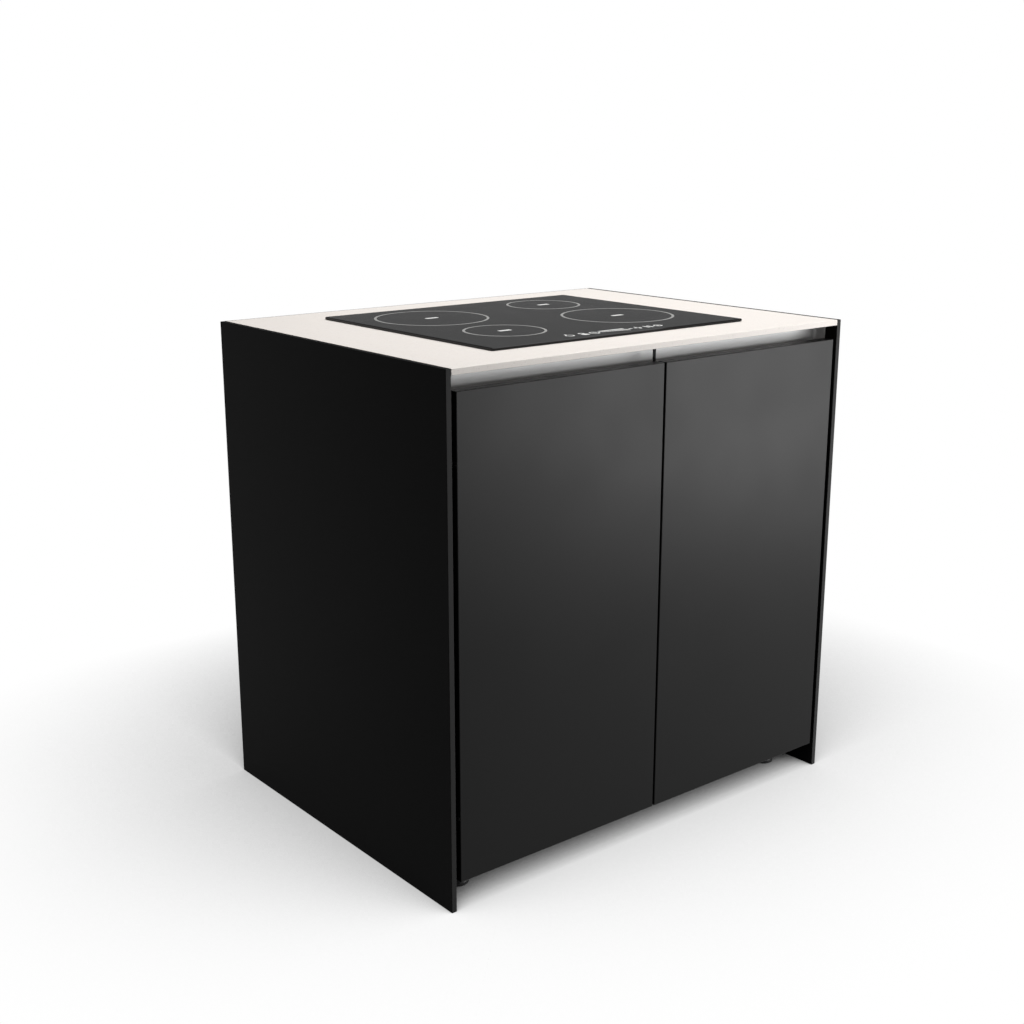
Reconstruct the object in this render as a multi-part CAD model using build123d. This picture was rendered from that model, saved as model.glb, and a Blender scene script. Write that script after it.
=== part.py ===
from build123d import *
import os
from math import pi

# Outdoor kitchen module with an induction hob let into its worktop.
# X runs to the right, Y to the back and Z up. The origin lies on the floor,
# in the middle of the footprint. All sizes are millimetres.

# Overall sizes
WIDTH = 900.0
DEPTH = 690.0
WORKTOP_LEVEL = 885.0
SIDE_SLAB = 10.0
WORKTOP_SLAB = 10.0
SLAB_JOINT = 0.5
EDGE_ROUND = 1.0

# Carcass of folded sheet and square tube
CARCASS_SETBACK = 26.0
CARCASS_BOTTOM = 50.0
PAN_HEIGHT = 22.0
SHEET = 2.0
BACK_SHEET = 2.0
POST = 25.0
TUBE_WALL = 2.0
TUBE_ROUND = 2.0
POST_CAP = 2.0
WORKTOP_LEDGE = 25.0
FRONT_RAIL_DEPTH = 36.0
RAIL_HEIGHT = 20.0
DIVIDER = 5.0
DIVIDER_STRIP = 2.5
SHIELD_DROP = 77.0
SHIELD_SHEET = 1.5
SHIELD_LIP = 15.0
SHELF_LEVEL = 440.0
SHELF_LIP = 20.0
SHELF_HEM = 10.0
SHELF_PLAY = 0.5
SHELF_SETBACK = 38.0
SHELF_PIN_RADIUS = 3.0
SHELF_PIN_REACH = 10.0
SHELF_PIN_INSET = 85.0

# Finger channel behind the top edge of the doors
CHANNEL_HEIGHT = 57.0
CHANNEL_DEPTH = 27.0
CHANNEL_CURVE = 25.0
CHANNEL_LIP = 10.0
CHANNEL_SHEET = 2.0
CHANNEL_NOSE = 0.8
CHANNEL_END = 1.0
CHANNEL_CORNER = 8.0
CHANNEL_NOTCH = 0.2

# Doors
DOOR_THICKNESS = 20.0
GRIP_OPENING = 24.5
DOOR_BOTTOM = 49.0
SIDE_REVEAL = 9.0
CENTRE_GAP = 4.5
DOOR_SKIN = 2.0
DOOR_BACK = 1.5
DOOR_FIT = 0.25
BUMPER_RADIUS = 4.0
BUMPER_INSET = 18.0
REST_GAP = 0.3
STRIKE_SHEET = 1.0
CATCH_WIDTH = 14.0
CATCH_HEIGHT = 32.0
CATCH_DEPTH = 34.0
CATCH_DROP = 30.0

# Pivot hinges
PIVOT_INSET = 10.0
HINGE_END = 110.0
PIN_RADIUS = 3.0
PIN_LENGTH = 36.0
PIN_RUNNING = 0.05
BUSH_WALL = 1.5
BUSH_FLANGE = 0.7
EYE_RADIUS = 6.5
ARM_THICKNESS = 6.0
ARM_RADIUS = 4.0
ARM_SIDE_PLAY = 1.0
ARM_KNEE = 12.0
LEAF_THICKNESS = 4.0
LEAF_HEIGHT = 50.0
LEAF_LENGTH = 34.0
BLOCK_WEB = 8.0
BLOCK_HEIGHT = 44.0

# Levelling feet
FOOT_INSET_X = 68.0
FOOT_INSET_Y = 77.0
PAD_RADIUS = 19.0
PAD_RIM = 6.0
PAD_CONE = 16.0
NECK_RADIUS = 12.0
STEM_RADIUS = 10.0
STEM_TOP = 52.0
STEM_RUNNING = 0.08
SOCKET_RADIUS = 16.0
SOCKET_MOUTH = 25.0
SOCKET_BORE_TOP = 64.0
SOCKET_FLANGE_RADIUS = 28.0
SOCKET_FLANGE = 4.0

# Bolts that hold the side slabs
BOLT_RADIUS = 3.0
BOLT_HEAD_RADIUS = 5.5
BOLT_HEAD = 3.0
BOLT_GRIP = 7.0
BOLT_PLAY = 0.25
BOLT_LOW = 200.0
BOLT_HIGH = 700.0

# Hob
HOB_WIDTH = 578.0
HOB_DEPTH = 498.0
HOB_SETBACK = 95.0
GLASS = 4.0
GLASS_CORNER = 4.0
GLASS_BEVEL = 1.0
SEAL = 1.0
SEAL_INSET = 2.0
SEAL_BAND = 9.0
CUTOUT_PLAY = 4.0
CUTOUT_CORNER = 10.0
CASING_INSET = 15.0
CASING_HEIGHT = 50.0
CASING_SHEET = 1.0
CASING_LAND = 8.0
INTAKE_SLOTS = 7
INTAKE_SLOT = 4.0
INTAKE_PITCH = 8.0
OUTLET_SLOTS = 10
OUTLET_WIDTH = 12.0
OUTLET_HEIGHT = 6.0
OUTLET_PITCH = 20.0
OUTLET_LIFT = 6.0
CLAMP_SHEET = 1.0
CLAMP_WIDTH = 30.0
CLAMP_REACH = 14.0
CLAMP_SPREAD = 150.0

# Cooking zones as shares of the glass: centre across its width, centre along
# its depth, and the radius of the printed ring against its depth
ZONE_SHARES = [
    (-0.2517, 0.2253, 0.2058), (-0.2517, -0.202, 0.1413), (0.2517, 0.2869, 0.1413), (0.2517, -0.1396, 0.2058),
]
COIL_INSET = 5.0
COIL_HEIGHT = 5.0
COIL_HOLE = 24.0
FORMER = 3.0
FORMER_RIM = 2.0
FORMER_HOLE = 14.0
FERRITE = 4.0
FERRITE_WIDTH = 12.0
FERRITE_COUNT = 6
COIL_TRAY = 1.5
TRAY_FIT = 0.3

# Power electronics and cooling fan inside the hob casing
STANDOFF = 5.0
STANDOFF_RADIUS = 4.0
STANDOFF_INSET = 8.0
BOARD = 1.6
BOARD_FAN_GAP = 70.0
BOARD_MARGIN = 28.0
BOARD_DEPTH = 300.0
FIRST_COMPONENT = 60.0
CAPACITORS = 3
CAPACITOR_RADIUS = 9.0
CAPACITOR_HEIGHT = 20.0
CAPACITOR_PITCH = 26.0
CAPACITOR_ROW = 110.0
RELAYS = 4
RELAY_WIDTH = 24.0
RELAY_DEPTH = 30.0
RELAY_HEIGHT = 16.0
RELAY_PITCH = 40.0
RELAY_ROW = -95.0
CHOKE_RADIUS = 16.0
CHOKE_BORE = 7.0
CHOKE_HEIGHT = 14.0
CHOKE_ROW = 100.0
FILTER_WIDTH = 60.0
FILTER_DEPTH = 40.0
FILTER_HEIGHT = 18.0
FILTER_ROW = -50.0
SINK_INSET = 10.0
SINK_LENGTH = 220.0
SINK_WIDTH = 60.0
SINK_HEIGHT = 22.0
SINK_BASE = 4.0
SINK_FIN = 1.6
SINK_FINS = 9
FAN_INSET = 88.0
FAN_BEHIND = 56.0
FAN_RADIUS = 36.0
FAN_HEIGHT = 26.0
FAN_WALL = 1.5
SCROLL_START = 42.0
SCROLL_STEP = 4.0
SCROLL_OUTLET = 62.0
SCROLL_TONGUE = 14.0
BLADE_COUNT = 13
BLADE_THICKNESS = 1.2
BLADE_INNER = 24.0
BLADE_OUTER = 35.5
BLADE_SWEEP = 14.0
BLADE_HEIGHT = 16.0
HUB_RADIUS = 13.0
HUB_HEIGHT = 18.0
BACKPLATE = 1.5
ROTOR_GAP = 2.0
SPINDLE_RADIUS = 2.0
SPINDLE_RUNNING = 0.06
SPINDLE_LENGTH = 15.0
TOUCH_LENGTH = 260.0
TOUCH_WIDTH = 24.0
TOUCH_INSET = 15.0
TOUCH_LEG_RADIUS = 3.0
TOUCH_LEG_INSET = 6.0
TOUCH_PAD_RADIUS = 4.0
TOUCH_PADS = 7

# Cable inlet and ventilation
GLAND_INSET_X = 120.0
GLAND_INSET_Y = 60.0
GLAND_BORE = 7.0
GLAND_BODY = 10.0
GLAND_NUT = 15.0
GLAND_LENGTH = 34.0
GLAND_RISE = 6.0
GLAND_NUT_ABOVE = 5.0
GLAND_NUT_BELOW = 6.0
TERMINAL_WIDTH = 70.0
TERMINAL_DEPTH = 60.0
TERMINAL_HEIGHT = 20.0
TERMINAL_ROUND = 3.0
VENT_WIDTH = 6.0
VENT_HEIGHT = 44.0
VENT_PITCH = 16.0
VENTS = 14
VENT_DROP = 43.0

# Places worked out from the sizes above
inner_x = WIDTH / 2 - SIDE_SLAB
front_y = -DEPTH / 2
back_y = DEPTH / 2
worktop_under = WORKTOP_LEVEL - WORKTOP_SLAB
carcass_front = front_y + CARCASS_SETBACK
carcass_back = back_y - BACK_SHEET
pan_top = CARCASS_BOTTOM + PAN_HEIGHT
pan_under = pan_top - SHEET
wall_inner = inner_x - SHEET
post_inner = inner_x - POST
channel_back = carcass_front + CHANNEL_DEPTH
channel_bottom = worktop_under - CHANNEL_HEIGHT
channel_face = channel_back - CHANNEL_SHEET
curve_level = channel_bottom + CHANNEL_LIP + CHANNEL_CURVE
strip_back = carcass_front + DIVIDER_STRIP
front_rail_back = channel_back + FRONT_RAIL_DEPTH
rear_post_front = carcass_back - POST
door_outer = inner_x - SIDE_REVEAL
door_rear = front_y + DOOR_THICKNESS
door_top = worktop_under - GRIP_OPENING
pivot_x = door_outer - PIVOT_INSET
pivot_y = front_y + DOOR_THICKNESS / 2
hinge_levels = (DOOR_BOTTOM + HINGE_END, door_top - HINGE_END)
pocket_reach = ARM_KNEE + ARM_RADIUS + ARM_SIDE_PLAY
block_inner = -pivot_x + pocket_reach + BLOCK_WEB
slot_height = ARM_THICKNESS + 2 * ARM_SIDE_PLAY
shield_level = worktop_under - SHIELD_DROP
catch_level = shield_level - CATCH_DROP
vent_level = worktop_under - VENT_DROP
shelf_front = carcass_front + SHELF_SETBACK
shelf_rear = rear_post_front - SHELF_PLAY
foot_x = WIDTH / 2 - FOOT_INSET_X
foot_y = DEPTH / 2 - FOOT_INSET_Y
gland_x = WIDTH / 2 - GLAND_INSET_X
gland_y = DEPTH / 2 - GLAND_INSET_Y

# Places inside the hob
hob_y = front_y + HOB_SETBACK + HOB_DEPTH / 2
casing_width = HOB_WIDTH - 2 * CASING_INSET
casing_depth = HOB_DEPTH - 2 * CASING_INSET
casing_front = hob_y - casing_depth / 2
casing_rear = hob_y + casing_depth / 2
glass_under = WORKTOP_LEVEL + SEAL
casing_bottom = glass_under - CASING_HEIGHT
casing_floor = casing_bottom + CASING_SHEET
zones = [(x * HOB_WIDTH, hob_y + y * HOB_DEPTH, radius * HOB_DEPTH) for x, y, radius in ZONE_SHARES]
winding_top = glass_under - REST_GAP
winding_bottom = winding_top - COIL_HEIGHT
former_bottom = winding_bottom - FORMER
ferrite_bottom = former_bottom - FERRITE
tray_bottom = ferrite_bottom - COIL_TRAY
fan_x = -casing_width / 2 + FAN_INSET
fan_y = hob_y + FAN_BEHIND
fan_top = casing_floor + FAN_HEIGHT
rotor_top = fan_top - FAN_WALL - ROTOR_GAP
board_left = fan_x + BOARD_FAN_GAP
board_right = casing_width / 2 - BOARD_MARGIN
board_bottom = casing_floor + STANDOFF
board_top = board_bottom + BOARD
sink_y = fan_y - (SCROLL_START + 2 * SCROLL_STEP + SCROLL_TONGUE) / 2
touch_y = casing_front + TOUCH_INSET


def block(x0, x1, y0, y1, z0, z1):
    """A box between two corners."""
    return Pos((x0 + x1) / 2, (y0 + y1) / 2, (z0 + z1) / 2) * Box(x1 - x0, y1 - y0, z1 - z0)


def rod(radius, x, y, z0, z1):
    """An upright cylinder."""
    return Pos(x, y, (z0 + z1) / 2) * Cylinder(radius, z1 - z0)


def rod_x(radius, x0, x1, y, z):
    """A cylinder along X."""
    return Pos((x0 + x1) / 2, y, z) * Rot(0, 90, 0) * Cylinder(radius, x1 - x0)


def plate(x, y, width, depth, corner, z0, z1):
    """A flat plate with rounded corners."""
    outline = RectangleRounded(width, depth, corner)
    return Pos(x, y, z0) * extrude(outline, z1 - z0)


def along_x(section, x0, x1):
    """Extrude a face drawn as (Y, Z) from x0 to x1."""
    return extrude(Plane.YZ.offset(x0) * section, x1 - x0)


def mirrored(shape):
    """The same piece for the other side of the module."""
    return mirror(shape, about=Plane.YZ)


def save(name, *shapes):
    """Write one node: a single solid, or a group of separate ones."""
    solids = [solid for shape in shapes for solid in shape.solids()]
    piece = solids[0] if len(solids) == 1 else Compound(solids)
    export_step(piece, f"parts/{name}.step")


def save_pair(name, *shapes):
    """Write a left piece and its mirror image on the right."""
    save(f"left_{name}", *shapes)
    save(f"right_{name}", *[mirrored(shape) for shape in shapes])


def square_tube(width, height, length):
    """A tube along Z with rounded outer corners."""
    outer = RectangleRounded(width, height, TUBE_ROUND)
    inner = Rectangle(width - 2 * TUBE_WALL, height - 2 * TUBE_WALL)
    return extrude(outer - inner, length)


# Slabs

def bolt_places():
    """Places (Y, Z) of the bolts that hold one side slab."""
    rows = (carcass_front + POST / 2, carcass_back - POST / 2)
    return [(y, z) for y in rows for z in (BOLT_LOW, BOLT_HIGH)]


def side_panel():
    slab = block(-WIDTH / 2, -inner_x, front_y, back_y, 0, WORKTOP_LEVEL)
    slab = fillet(slab.edges(), EDGE_ROUND)
    for y, z in bolt_places():
        slab -= rod_x(BOLT_RADIUS, -inner_x - BOLT_GRIP, -inner_x + 1, y, z)
    return slab


def worktop():
    reach = inner_x - SLAB_JOINT
    slab = block(-reach, reach, front_y, carcass_back - SLAB_JOINT, worktop_under, WORKTOP_LEVEL)
    front_edges = slab.edges().filter_by(Axis.X).group_by(Axis.Y)[0]
    slab = fillet(front_edges, EDGE_ROUND)
    opening = plate(
        0, hob_y,
        casing_width + 2 * CUTOUT_PLAY, casing_depth + 2 * CUTOUT_PLAY, CUTOUT_CORNER,
        worktop_under - 1, WORKTOP_LEVEL + 1,
    )
    return slab - opening


def back_panel():
    sheet = block(-inner_x, inner_x, carcass_back, back_y, CARCASS_BOTTOM, WORKTOP_LEVEL)
    slot = Plane.XZ * SlotOverall(VENT_HEIGHT, VENT_WIDTH, rotation=90)
    for side in (-1, 1):
        for i in range(VENTS):
            x = side * inner_x / 2 + (i - (VENTS - 1) / 2) * VENT_PITCH
            sheet -= Pos(x, back_y + 1, vent_level) * extrude(slot, 2 * BACK_SHEET + 2)
    return sheet


# Carcass

def base_pan():
    side = 2 * wall_inner
    depth = carcass_back - carcass_front
    outline = Rectangle(side, depth)
    notch_x = inner_x - POST / 2
    for sx in (-1, 1):
        for sy in (-1, 1):
            outline -= Pos(sx * notch_x, sy * (depth - POST) / 2) * Rectangle(POST, POST)
    outline = Pos(0, (carcass_front + carcass_back) / 2) * outline
    pan = Pos(0, 0, CARCASS_BOTTOM) * extrude(outline, PAN_HEIGHT)
    hollow = offset(outline, -SHEET, kind=Kind.INTERSECTION)
    pan -= Pos(0, 0, CARCASS_BOTTOM) * extrude(hollow, PAN_HEIGHT - SHEET)
    return pan - rod(GLAND_BODY, gland_x, gland_y, CARCASS_BOTTOM, pan_top + 1)


def wall():
    """Side sheet between the posts, folded in at the top to carry the worktop."""
    sheet = block(-inner_x, -wall_inner, carcass_front + POST, rear_post_front, CARCASS_BOTTOM, worktop_under)
    sheet -= block(
        -inner_x - 1, -wall_inner + 1, carcass_front, channel_back, channel_bottom, worktop_under + 1
    )
    ledge = block(
        -wall_inner, -wall_inner + WORKTOP_LEDGE, front_rail_back, rear_post_front,
        worktop_under - SHEET, worktop_under,
    )
    return sheet + ledge


def post(y, top):
    """Corner post on the left side, closed at both ends, with its two bolt holes."""
    height = top - CARCASS_BOTTOM
    tube = square_tube(POST, POST, height)
    cap = extrude(RectangleRounded(POST, POST, TUBE_ROUND), POST_CAP)
    tube += cap + Pos(0, 0, height - POST_CAP) * cap
    tube = Pos(-inner_x + POST / 2, y, CARCASS_BOTTOM) * tube
    for z in (BOLT_LOW, BOLT_HIGH):
        tube -= rod_x(BOLT_RADIUS + BOLT_PLAY, -inner_x - 1, -post_inner + 1, y, z)
    return tube


def front_top_rail():
    y = channel_back + FRONT_RAIL_DEPTH / 2
    tube = square_tube(FRONT_RAIL_DEPTH, RAIL_HEIGHT, 2 * wall_inner)
    return Pos(-wall_inner, y, worktop_under - RAIL_HEIGHT / 2) * Plane.YZ.location * tube


def rear_top_rail():
    y = carcass_back - POST / 2
    tube = square_tube(POST, RAIL_HEIGHT, 2 * post_inner)
    return Pos(-post_inner, y, worktop_under - RAIL_HEIGHT / 2) * Plane.YZ.location * tube


def centre_divider():
    """Partition with a slender strip at its front, which rises before the joint of the finger channels."""
    outline = Polyline(
        (carcass_front, pan_top), (carcass_back, pan_top), (carcass_back, shield_level),
        (strip_back, shield_level), (strip_back, worktop_under), (carcass_front, worktop_under),
        close=True,
    )
    return along_x(make_face(outline), -DIVIDER / 2, DIVIDER / 2)


def finger_channel():
    """Extrusion that forms the grip recess: upright back, quarter curve and lip."""
    centre = (channel_face - CHANNEL_CURVE, curve_level)
    lip_y = carcass_front + CHANNEL_SHEET
    outer = CHANNEL_CURVE + CHANNEL_SHEET
    lip_join = curve_level - (outer ** 2 - (lip_y - centre[0]) ** 2) ** 0.5
    diagonal = 0.5 ** 0.5
    face = [
        Line((channel_face, worktop_under), (channel_face, curve_level)),
        ThreePointArc(
            (channel_face, curve_level),
            (centre[0] + CHANNEL_CURVE * diagonal, centre[1] - CHANNEL_CURVE * diagonal),
            (carcass_front, curve_level - CHANNEL_CURVE),
        ),
        Line((carcass_front, curve_level - CHANNEL_CURVE), (carcass_front, channel_bottom)),
        Line((carcass_front, channel_bottom), (lip_y, channel_bottom)),
        Line((lip_y, channel_bottom), (lip_y, lip_join)),
        ThreePointArc(
            (lip_y, lip_join),
            (centre[0] + outer * diagonal, centre[1] - outer * diagonal),
            (channel_back, curve_level),
        ),
        Line((channel_back, curve_level), (channel_back, worktop_under)),
        Line((channel_back, worktop_under), (channel_face, worktop_under)),
    ]
    channel = along_x(make_face(face), -inner_x, 0)
    nose = channel.edges().filter_by(Axis.X).sort_by_distance(
        (-inner_x / 2, carcass_front, curve_level - CHANNEL_CURVE)
    )[0]
    notch = block(
        -DIVIDER / 2 - CHANNEL_NOTCH, 1, carcass_front - 1, strip_back + CHANNEL_NOTCH,
        channel_bottom - 1, worktop_under + 1,
    )
    return fillet(nose, CHANNEL_NOSE) + channel_end() - notch


def channel_end():
    """Plate that closes the outer end of the recess, with a hollow corner where it meets the upright."""
    end = -inner_x + CHANNEL_END
    reach = end + CHANNEL_CORNER
    front = carcass_front + CHANNEL_NOSE
    low = block(-inner_x, reach, front, channel_face, curve_level - CHANNEL_CURVE, curve_level)
    low &= rod_x(CHANNEL_CURVE, -inner_x, reach, channel_face - CHANNEL_CURVE, curve_level)
    plug = low + block(-inner_x, reach, front, channel_face, curve_level, worktop_under)
    hollow = block(
        end, reach + CHANNEL_CORNER, front - CHANNEL_CORNER, channel_face, channel_bottom, worktop_under + 1
    )
    corner = hollow.edges().filter_by(Axis.Z).sort_by_distance((end, channel_face, curve_level))[0]
    return plug - fillet(corner, CHANNEL_CORNER)


def heat_shield():
    """Tray under the hob that keeps heat off what is stored below."""
    front = front_rail_back
    rear = rear_post_front - SLAB_JOINT
    top = shield_level + SHIELD_SHEET
    tray = block(-wall_inner, wall_inner, front, rear, shield_level, top + SHIELD_LIP)
    tray -= block(
        -wall_inner + SHIELD_SHEET, wall_inner - SHIELD_SHEET,
        front + SHIELD_SHEET, rear + 1, top, top + SHIELD_LIP + 1,
    )
    for row in range(2):
        for i in range(VENTS):
            x = (i - (VENTS - 1) / 2) * 2 * VENT_PITCH
            y = front + (row + 1) * 2 * VENT_HEIGHT
            tray -= block(
                x - VENT_WIDTH / 2, x + VENT_WIDTH / 2, y - VENT_HEIGHT / 2, y + VENT_HEIGHT / 2,
                shield_level - 1, top + 1,
            )
    return tray - rod(GLAND_NUT, gland_x, gland_y, shield_level - 1, top + 1)


def shelf():
    """Left shelf: sheet with a hemmed lip along its front and its rear."""
    bottom = SHELF_LEVEL - SHELF_LIP
    section = make_face(Polyline(
        (shelf_front, SHELF_LEVEL), (shelf_rear, SHELF_LEVEL), (shelf_rear, bottom),
        (shelf_rear - SHEET, bottom), (shelf_rear - SHEET, SHELF_LEVEL - SHEET),
        (shelf_front + SHEET, SHELF_LEVEL - SHEET), (shelf_front + SHEET, bottom + SHEET),
        (shelf_front + SHELF_HEM, bottom + SHEET), (shelf_front + SHELF_HEM, bottom),
        (shelf_front, bottom),
        close=True,
    ))
    tray = along_x(section, -wall_inner + SHELF_PLAY, -DIVIDER / 2 - SHELF_PLAY)
    corner = tray.edges().filter_by(Axis.X).sort_by_distance((-inner_x / 2, shelf_front, SHELF_LEVEL))[0]
    return fillet(corner, EDGE_ROUND)


def shelf_pins():
    """Pins in the wall and in the divider, under the shelves."""
    pins = []
    z = SHELF_LEVEL - SHEET - SHELF_PIN_RADIUS
    for y in (shelf_front + SHELF_PIN_INSET, shelf_rear - SHELF_PIN_INSET):
        pins.append(rod_x(SHELF_PIN_RADIUS, -wall_inner, -wall_inner + SHELF_PIN_REACH, y, z))
        pins.append(rod_x(SHELF_PIN_RADIUS, -DIVIDER / 2 - SHELF_PIN_REACH, -DIVIDER / 2, y, z))
    return pins + [mirrored(pin) for pin in pins]


def side_panel_bolts():
    bolts = []
    for y, z in bolt_places():
        shank = rod_x(BOLT_RADIUS, -inner_x - BOLT_GRIP, -post_inner, y, z)
        head = rod_x(BOLT_HEAD_RADIUS, -post_inner, -post_inner + BOLT_HEAD, y, z)
        bolts.append(shank + head)
    return bolts + [mirrored(bolt) for bolt in bolts]


# Levelling feet

def foot_socket(x, y):
    socket = rod(SOCKET_RADIUS, x, y, SOCKET_MOUTH, pan_under)
    socket += rod(SOCKET_FLANGE_RADIUS, x, y, pan_under - SOCKET_FLANGE, pan_under)
    return socket - rod(STEM_RADIUS + STEM_RUNNING, x, y, SOCKET_MOUTH - 1, SOCKET_BORE_TOP)


def foot(x, y):
    """Pad and stem in one, turned about an upright axis."""
    outline = Polyline(
        (0, 0), (PAD_RADIUS - EDGE_ROUND, 0), (PAD_RADIUS, EDGE_ROUND), (PAD_RADIUS, PAD_RIM),
        (NECK_RADIUS, PAD_CONE), (STEM_RADIUS, PAD_CONE), (STEM_RADIUS, STEM_TOP), (0, STEM_TOP),
        close=True,
    )
    turned = revolve(Plane.XZ * make_face(outline), Axis.Z)
    return Pos(x, y, 0) * turned


# Doors

def hinge_slot(z, height):
    """Space in the left door that the hinge arm swings through."""
    return block(
        -door_outer - 1, -pivot_x + pocket_reach, front_y + DOOR_SKIN, door_rear + 1,
        z - height / 2, z + height / 2,
    )


def door_skin():
    """Folded tray: the front face and four returns."""
    inner = -CENTRE_GAP / 2
    tray = block(-door_outer, inner, front_y, door_rear, DOOR_BOTTOM, door_top)
    tray = fillet(tray.faces().sort_by(Axis.Y)[0].edges(), EDGE_ROUND)
    tray -= block(
        -door_outer + DOOR_SKIN, inner - DOOR_SKIN, front_y + DOOR_SKIN, door_rear + 1,
        DOOR_BOTTOM + DOOR_SKIN, door_top - DOOR_SKIN,
    )
    for z in hinge_levels:
        tray -= hinge_slot(z, slot_height)
    return tray


def hinge_block_space(z):
    return block(
        -door_outer + DOOR_SKIN, block_inner, front_y + DOOR_SKIN, door_rear - DOOR_BACK,
        z - BLOCK_HEIGHT / 2, z + BLOCK_HEIGHT / 2,
    )


def door_core():
    """Stiff foam board that fills the tray."""
    core = block(
        -door_outer + DOOR_SKIN, -CENTRE_GAP / 2 - DOOR_SKIN, front_y + DOOR_SKIN, door_rear - DOOR_BACK,
        DOOR_BOTTOM + DOOR_SKIN, door_top - DOOR_SKIN,
    )
    for z in hinge_levels:
        core -= hinge_block_space(z)
    return core


def door_back():
    """Inner sheet, let in between the returns of the tray."""
    edge = DOOR_SKIN + DOOR_FIT
    sheet = block(
        -door_outer + edge, -CENTRE_GAP / 2 - edge, door_rear - DOOR_BACK, door_rear,
        DOOR_BOTTOM + edge, door_top - edge,
    )
    for z in hinge_levels:
        sheet -= hinge_slot(z, slot_height)
    return sheet


def door_bumpers():
    """Soft domes on the door's back that meet the finger channel and the pan."""
    x = -CENTRE_GAP / 2 - BUMPER_INSET
    reach = carcass_front - door_rear - REST_GAP
    levels = (channel_bottom + BUMPER_RADIUS + EDGE_ROUND, CARCASS_BOTTOM + PAN_HEIGHT / 2)
    domes = []
    for z in levels:
        dome = Pos(x, door_rear + reach / 2, z) * Rot(90, 0, 0) * Cylinder(BUMPER_RADIUS, reach)
        domes.append(fillet(dome.faces().sort_by(Axis.Y)[-1].edges(), EDGE_ROUND))
    return domes


def strike_plate():
    x = -DIVIDER / 2 - CATCH_WIDTH / 2
    half = CATCH_HEIGHT / 2
    return block(
        x - CATCH_WIDTH / 2, x + CATCH_WIDTH / 2, door_rear, door_rear + STRIKE_SHEET,
        catch_level - half, catch_level + half,
    )


def magnet_catch():
    """Magnet in its holder on the left of the divider."""
    face = door_rear + STRIKE_SHEET + REST_GAP
    half = CATCH_HEIGHT / 2
    return block(
        -DIVIDER / 2 - CATCH_WIDTH, -DIVIDER / 2, face, face + CATCH_DEPTH,
        catch_level - half, catch_level + half,
    )


# Hinges

def hinge_bracket(z):
    """Leaf on the post and a cranked arm that ends in an eye round the pin."""
    leaf_front = carcass_front + EDGE_ROUND
    knee = (-pivot_x + ARM_KNEE, pivot_y + ARM_KNEE)
    end = (knee[0], leaf_front + 2 * ARM_RADIUS)
    reach = make_hull([
        Pos(-pivot_x, pivot_y) * Circle(EYE_RADIUS).edge(), Pos(*knee) * Circle(ARM_RADIUS).edge(),
    ])
    shank = make_hull([
        Pos(*knee) * Circle(ARM_RADIUS).edge(), Pos(*end) * Circle(ARM_RADIUS).edge(),
    ])
    arm = Pos(0, 0, z - ARM_THICKNESS / 2) * extrude(reach + shank, ARM_THICKNESS)
    leaf = block(
        -post_inner, -post_inner + LEAF_THICKNESS, leaf_front, leaf_front + LEAF_LENGTH,
        z - LEAF_HEIGHT / 2, z + LEAF_HEIGHT / 2,
    )
    eye = rod(PIN_RADIUS + PIN_RUNNING + BUSH_WALL, -pivot_x, pivot_y, z - ARM_THICKNESS, z + ARM_THICKNESS)
    return arm + leaf - eye


def hinge_bush(z):
    """Flanged bushes in the eye, joined as one sleeve."""
    outer = PIN_RADIUS + PIN_RUNNING + BUSH_WALL
    sleeve = rod(outer, -pivot_x, pivot_y, z - ARM_THICKNESS / 2, z + ARM_THICKNESS / 2)
    for side in (-1, 1):
        near = z + side * ARM_THICKNESS / 2
        far = near + side * BUSH_FLANGE
        sleeve += rod(EYE_RADIUS, -pivot_x, pivot_y, min(near, far), max(near, far))
    return sleeve - rod(PIN_RADIUS + PIN_RUNNING, -pivot_x, pivot_y, z - slot_height, z + slot_height)


def hinge_block(z):
    """Knuckle block inside the door, slotted for the arm and bored for the pin."""
    body = hinge_block_space(z) - hinge_slot(z, slot_height)
    return body - rod(PIN_RADIUS, -pivot_x, pivot_y, z - PIN_LENGTH / 2, z + PIN_LENGTH / 2)


def hinge_pin(z):
    return rod(PIN_RADIUS, -pivot_x, pivot_y, z - PIN_LENGTH / 2, z + PIN_LENGTH / 2)


# Hob

def hob_glass():
    glass = plate(0, hob_y, HOB_WIDTH, HOB_DEPTH, GLASS_CORNER, glass_under, glass_under + GLASS)
    return chamfer(glass.faces().sort_by(Axis.Z)[-1].edges(), GLASS_BEVEL)


def hob_seal():
    width = HOB_WIDTH - 2 * SEAL_INSET
    depth = HOB_DEPTH - 2 * SEAL_INSET
    ring = plate(0, hob_y, width, depth, GLASS_CORNER, WORKTOP_LEVEL, glass_under)
    return ring - plate(
        0, hob_y, width - 2 * SEAL_BAND, depth - 2 * SEAL_BAND, GLASS_CORNER,
        WORKTOP_LEVEL - 1, glass_under + 1,
    )


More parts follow.
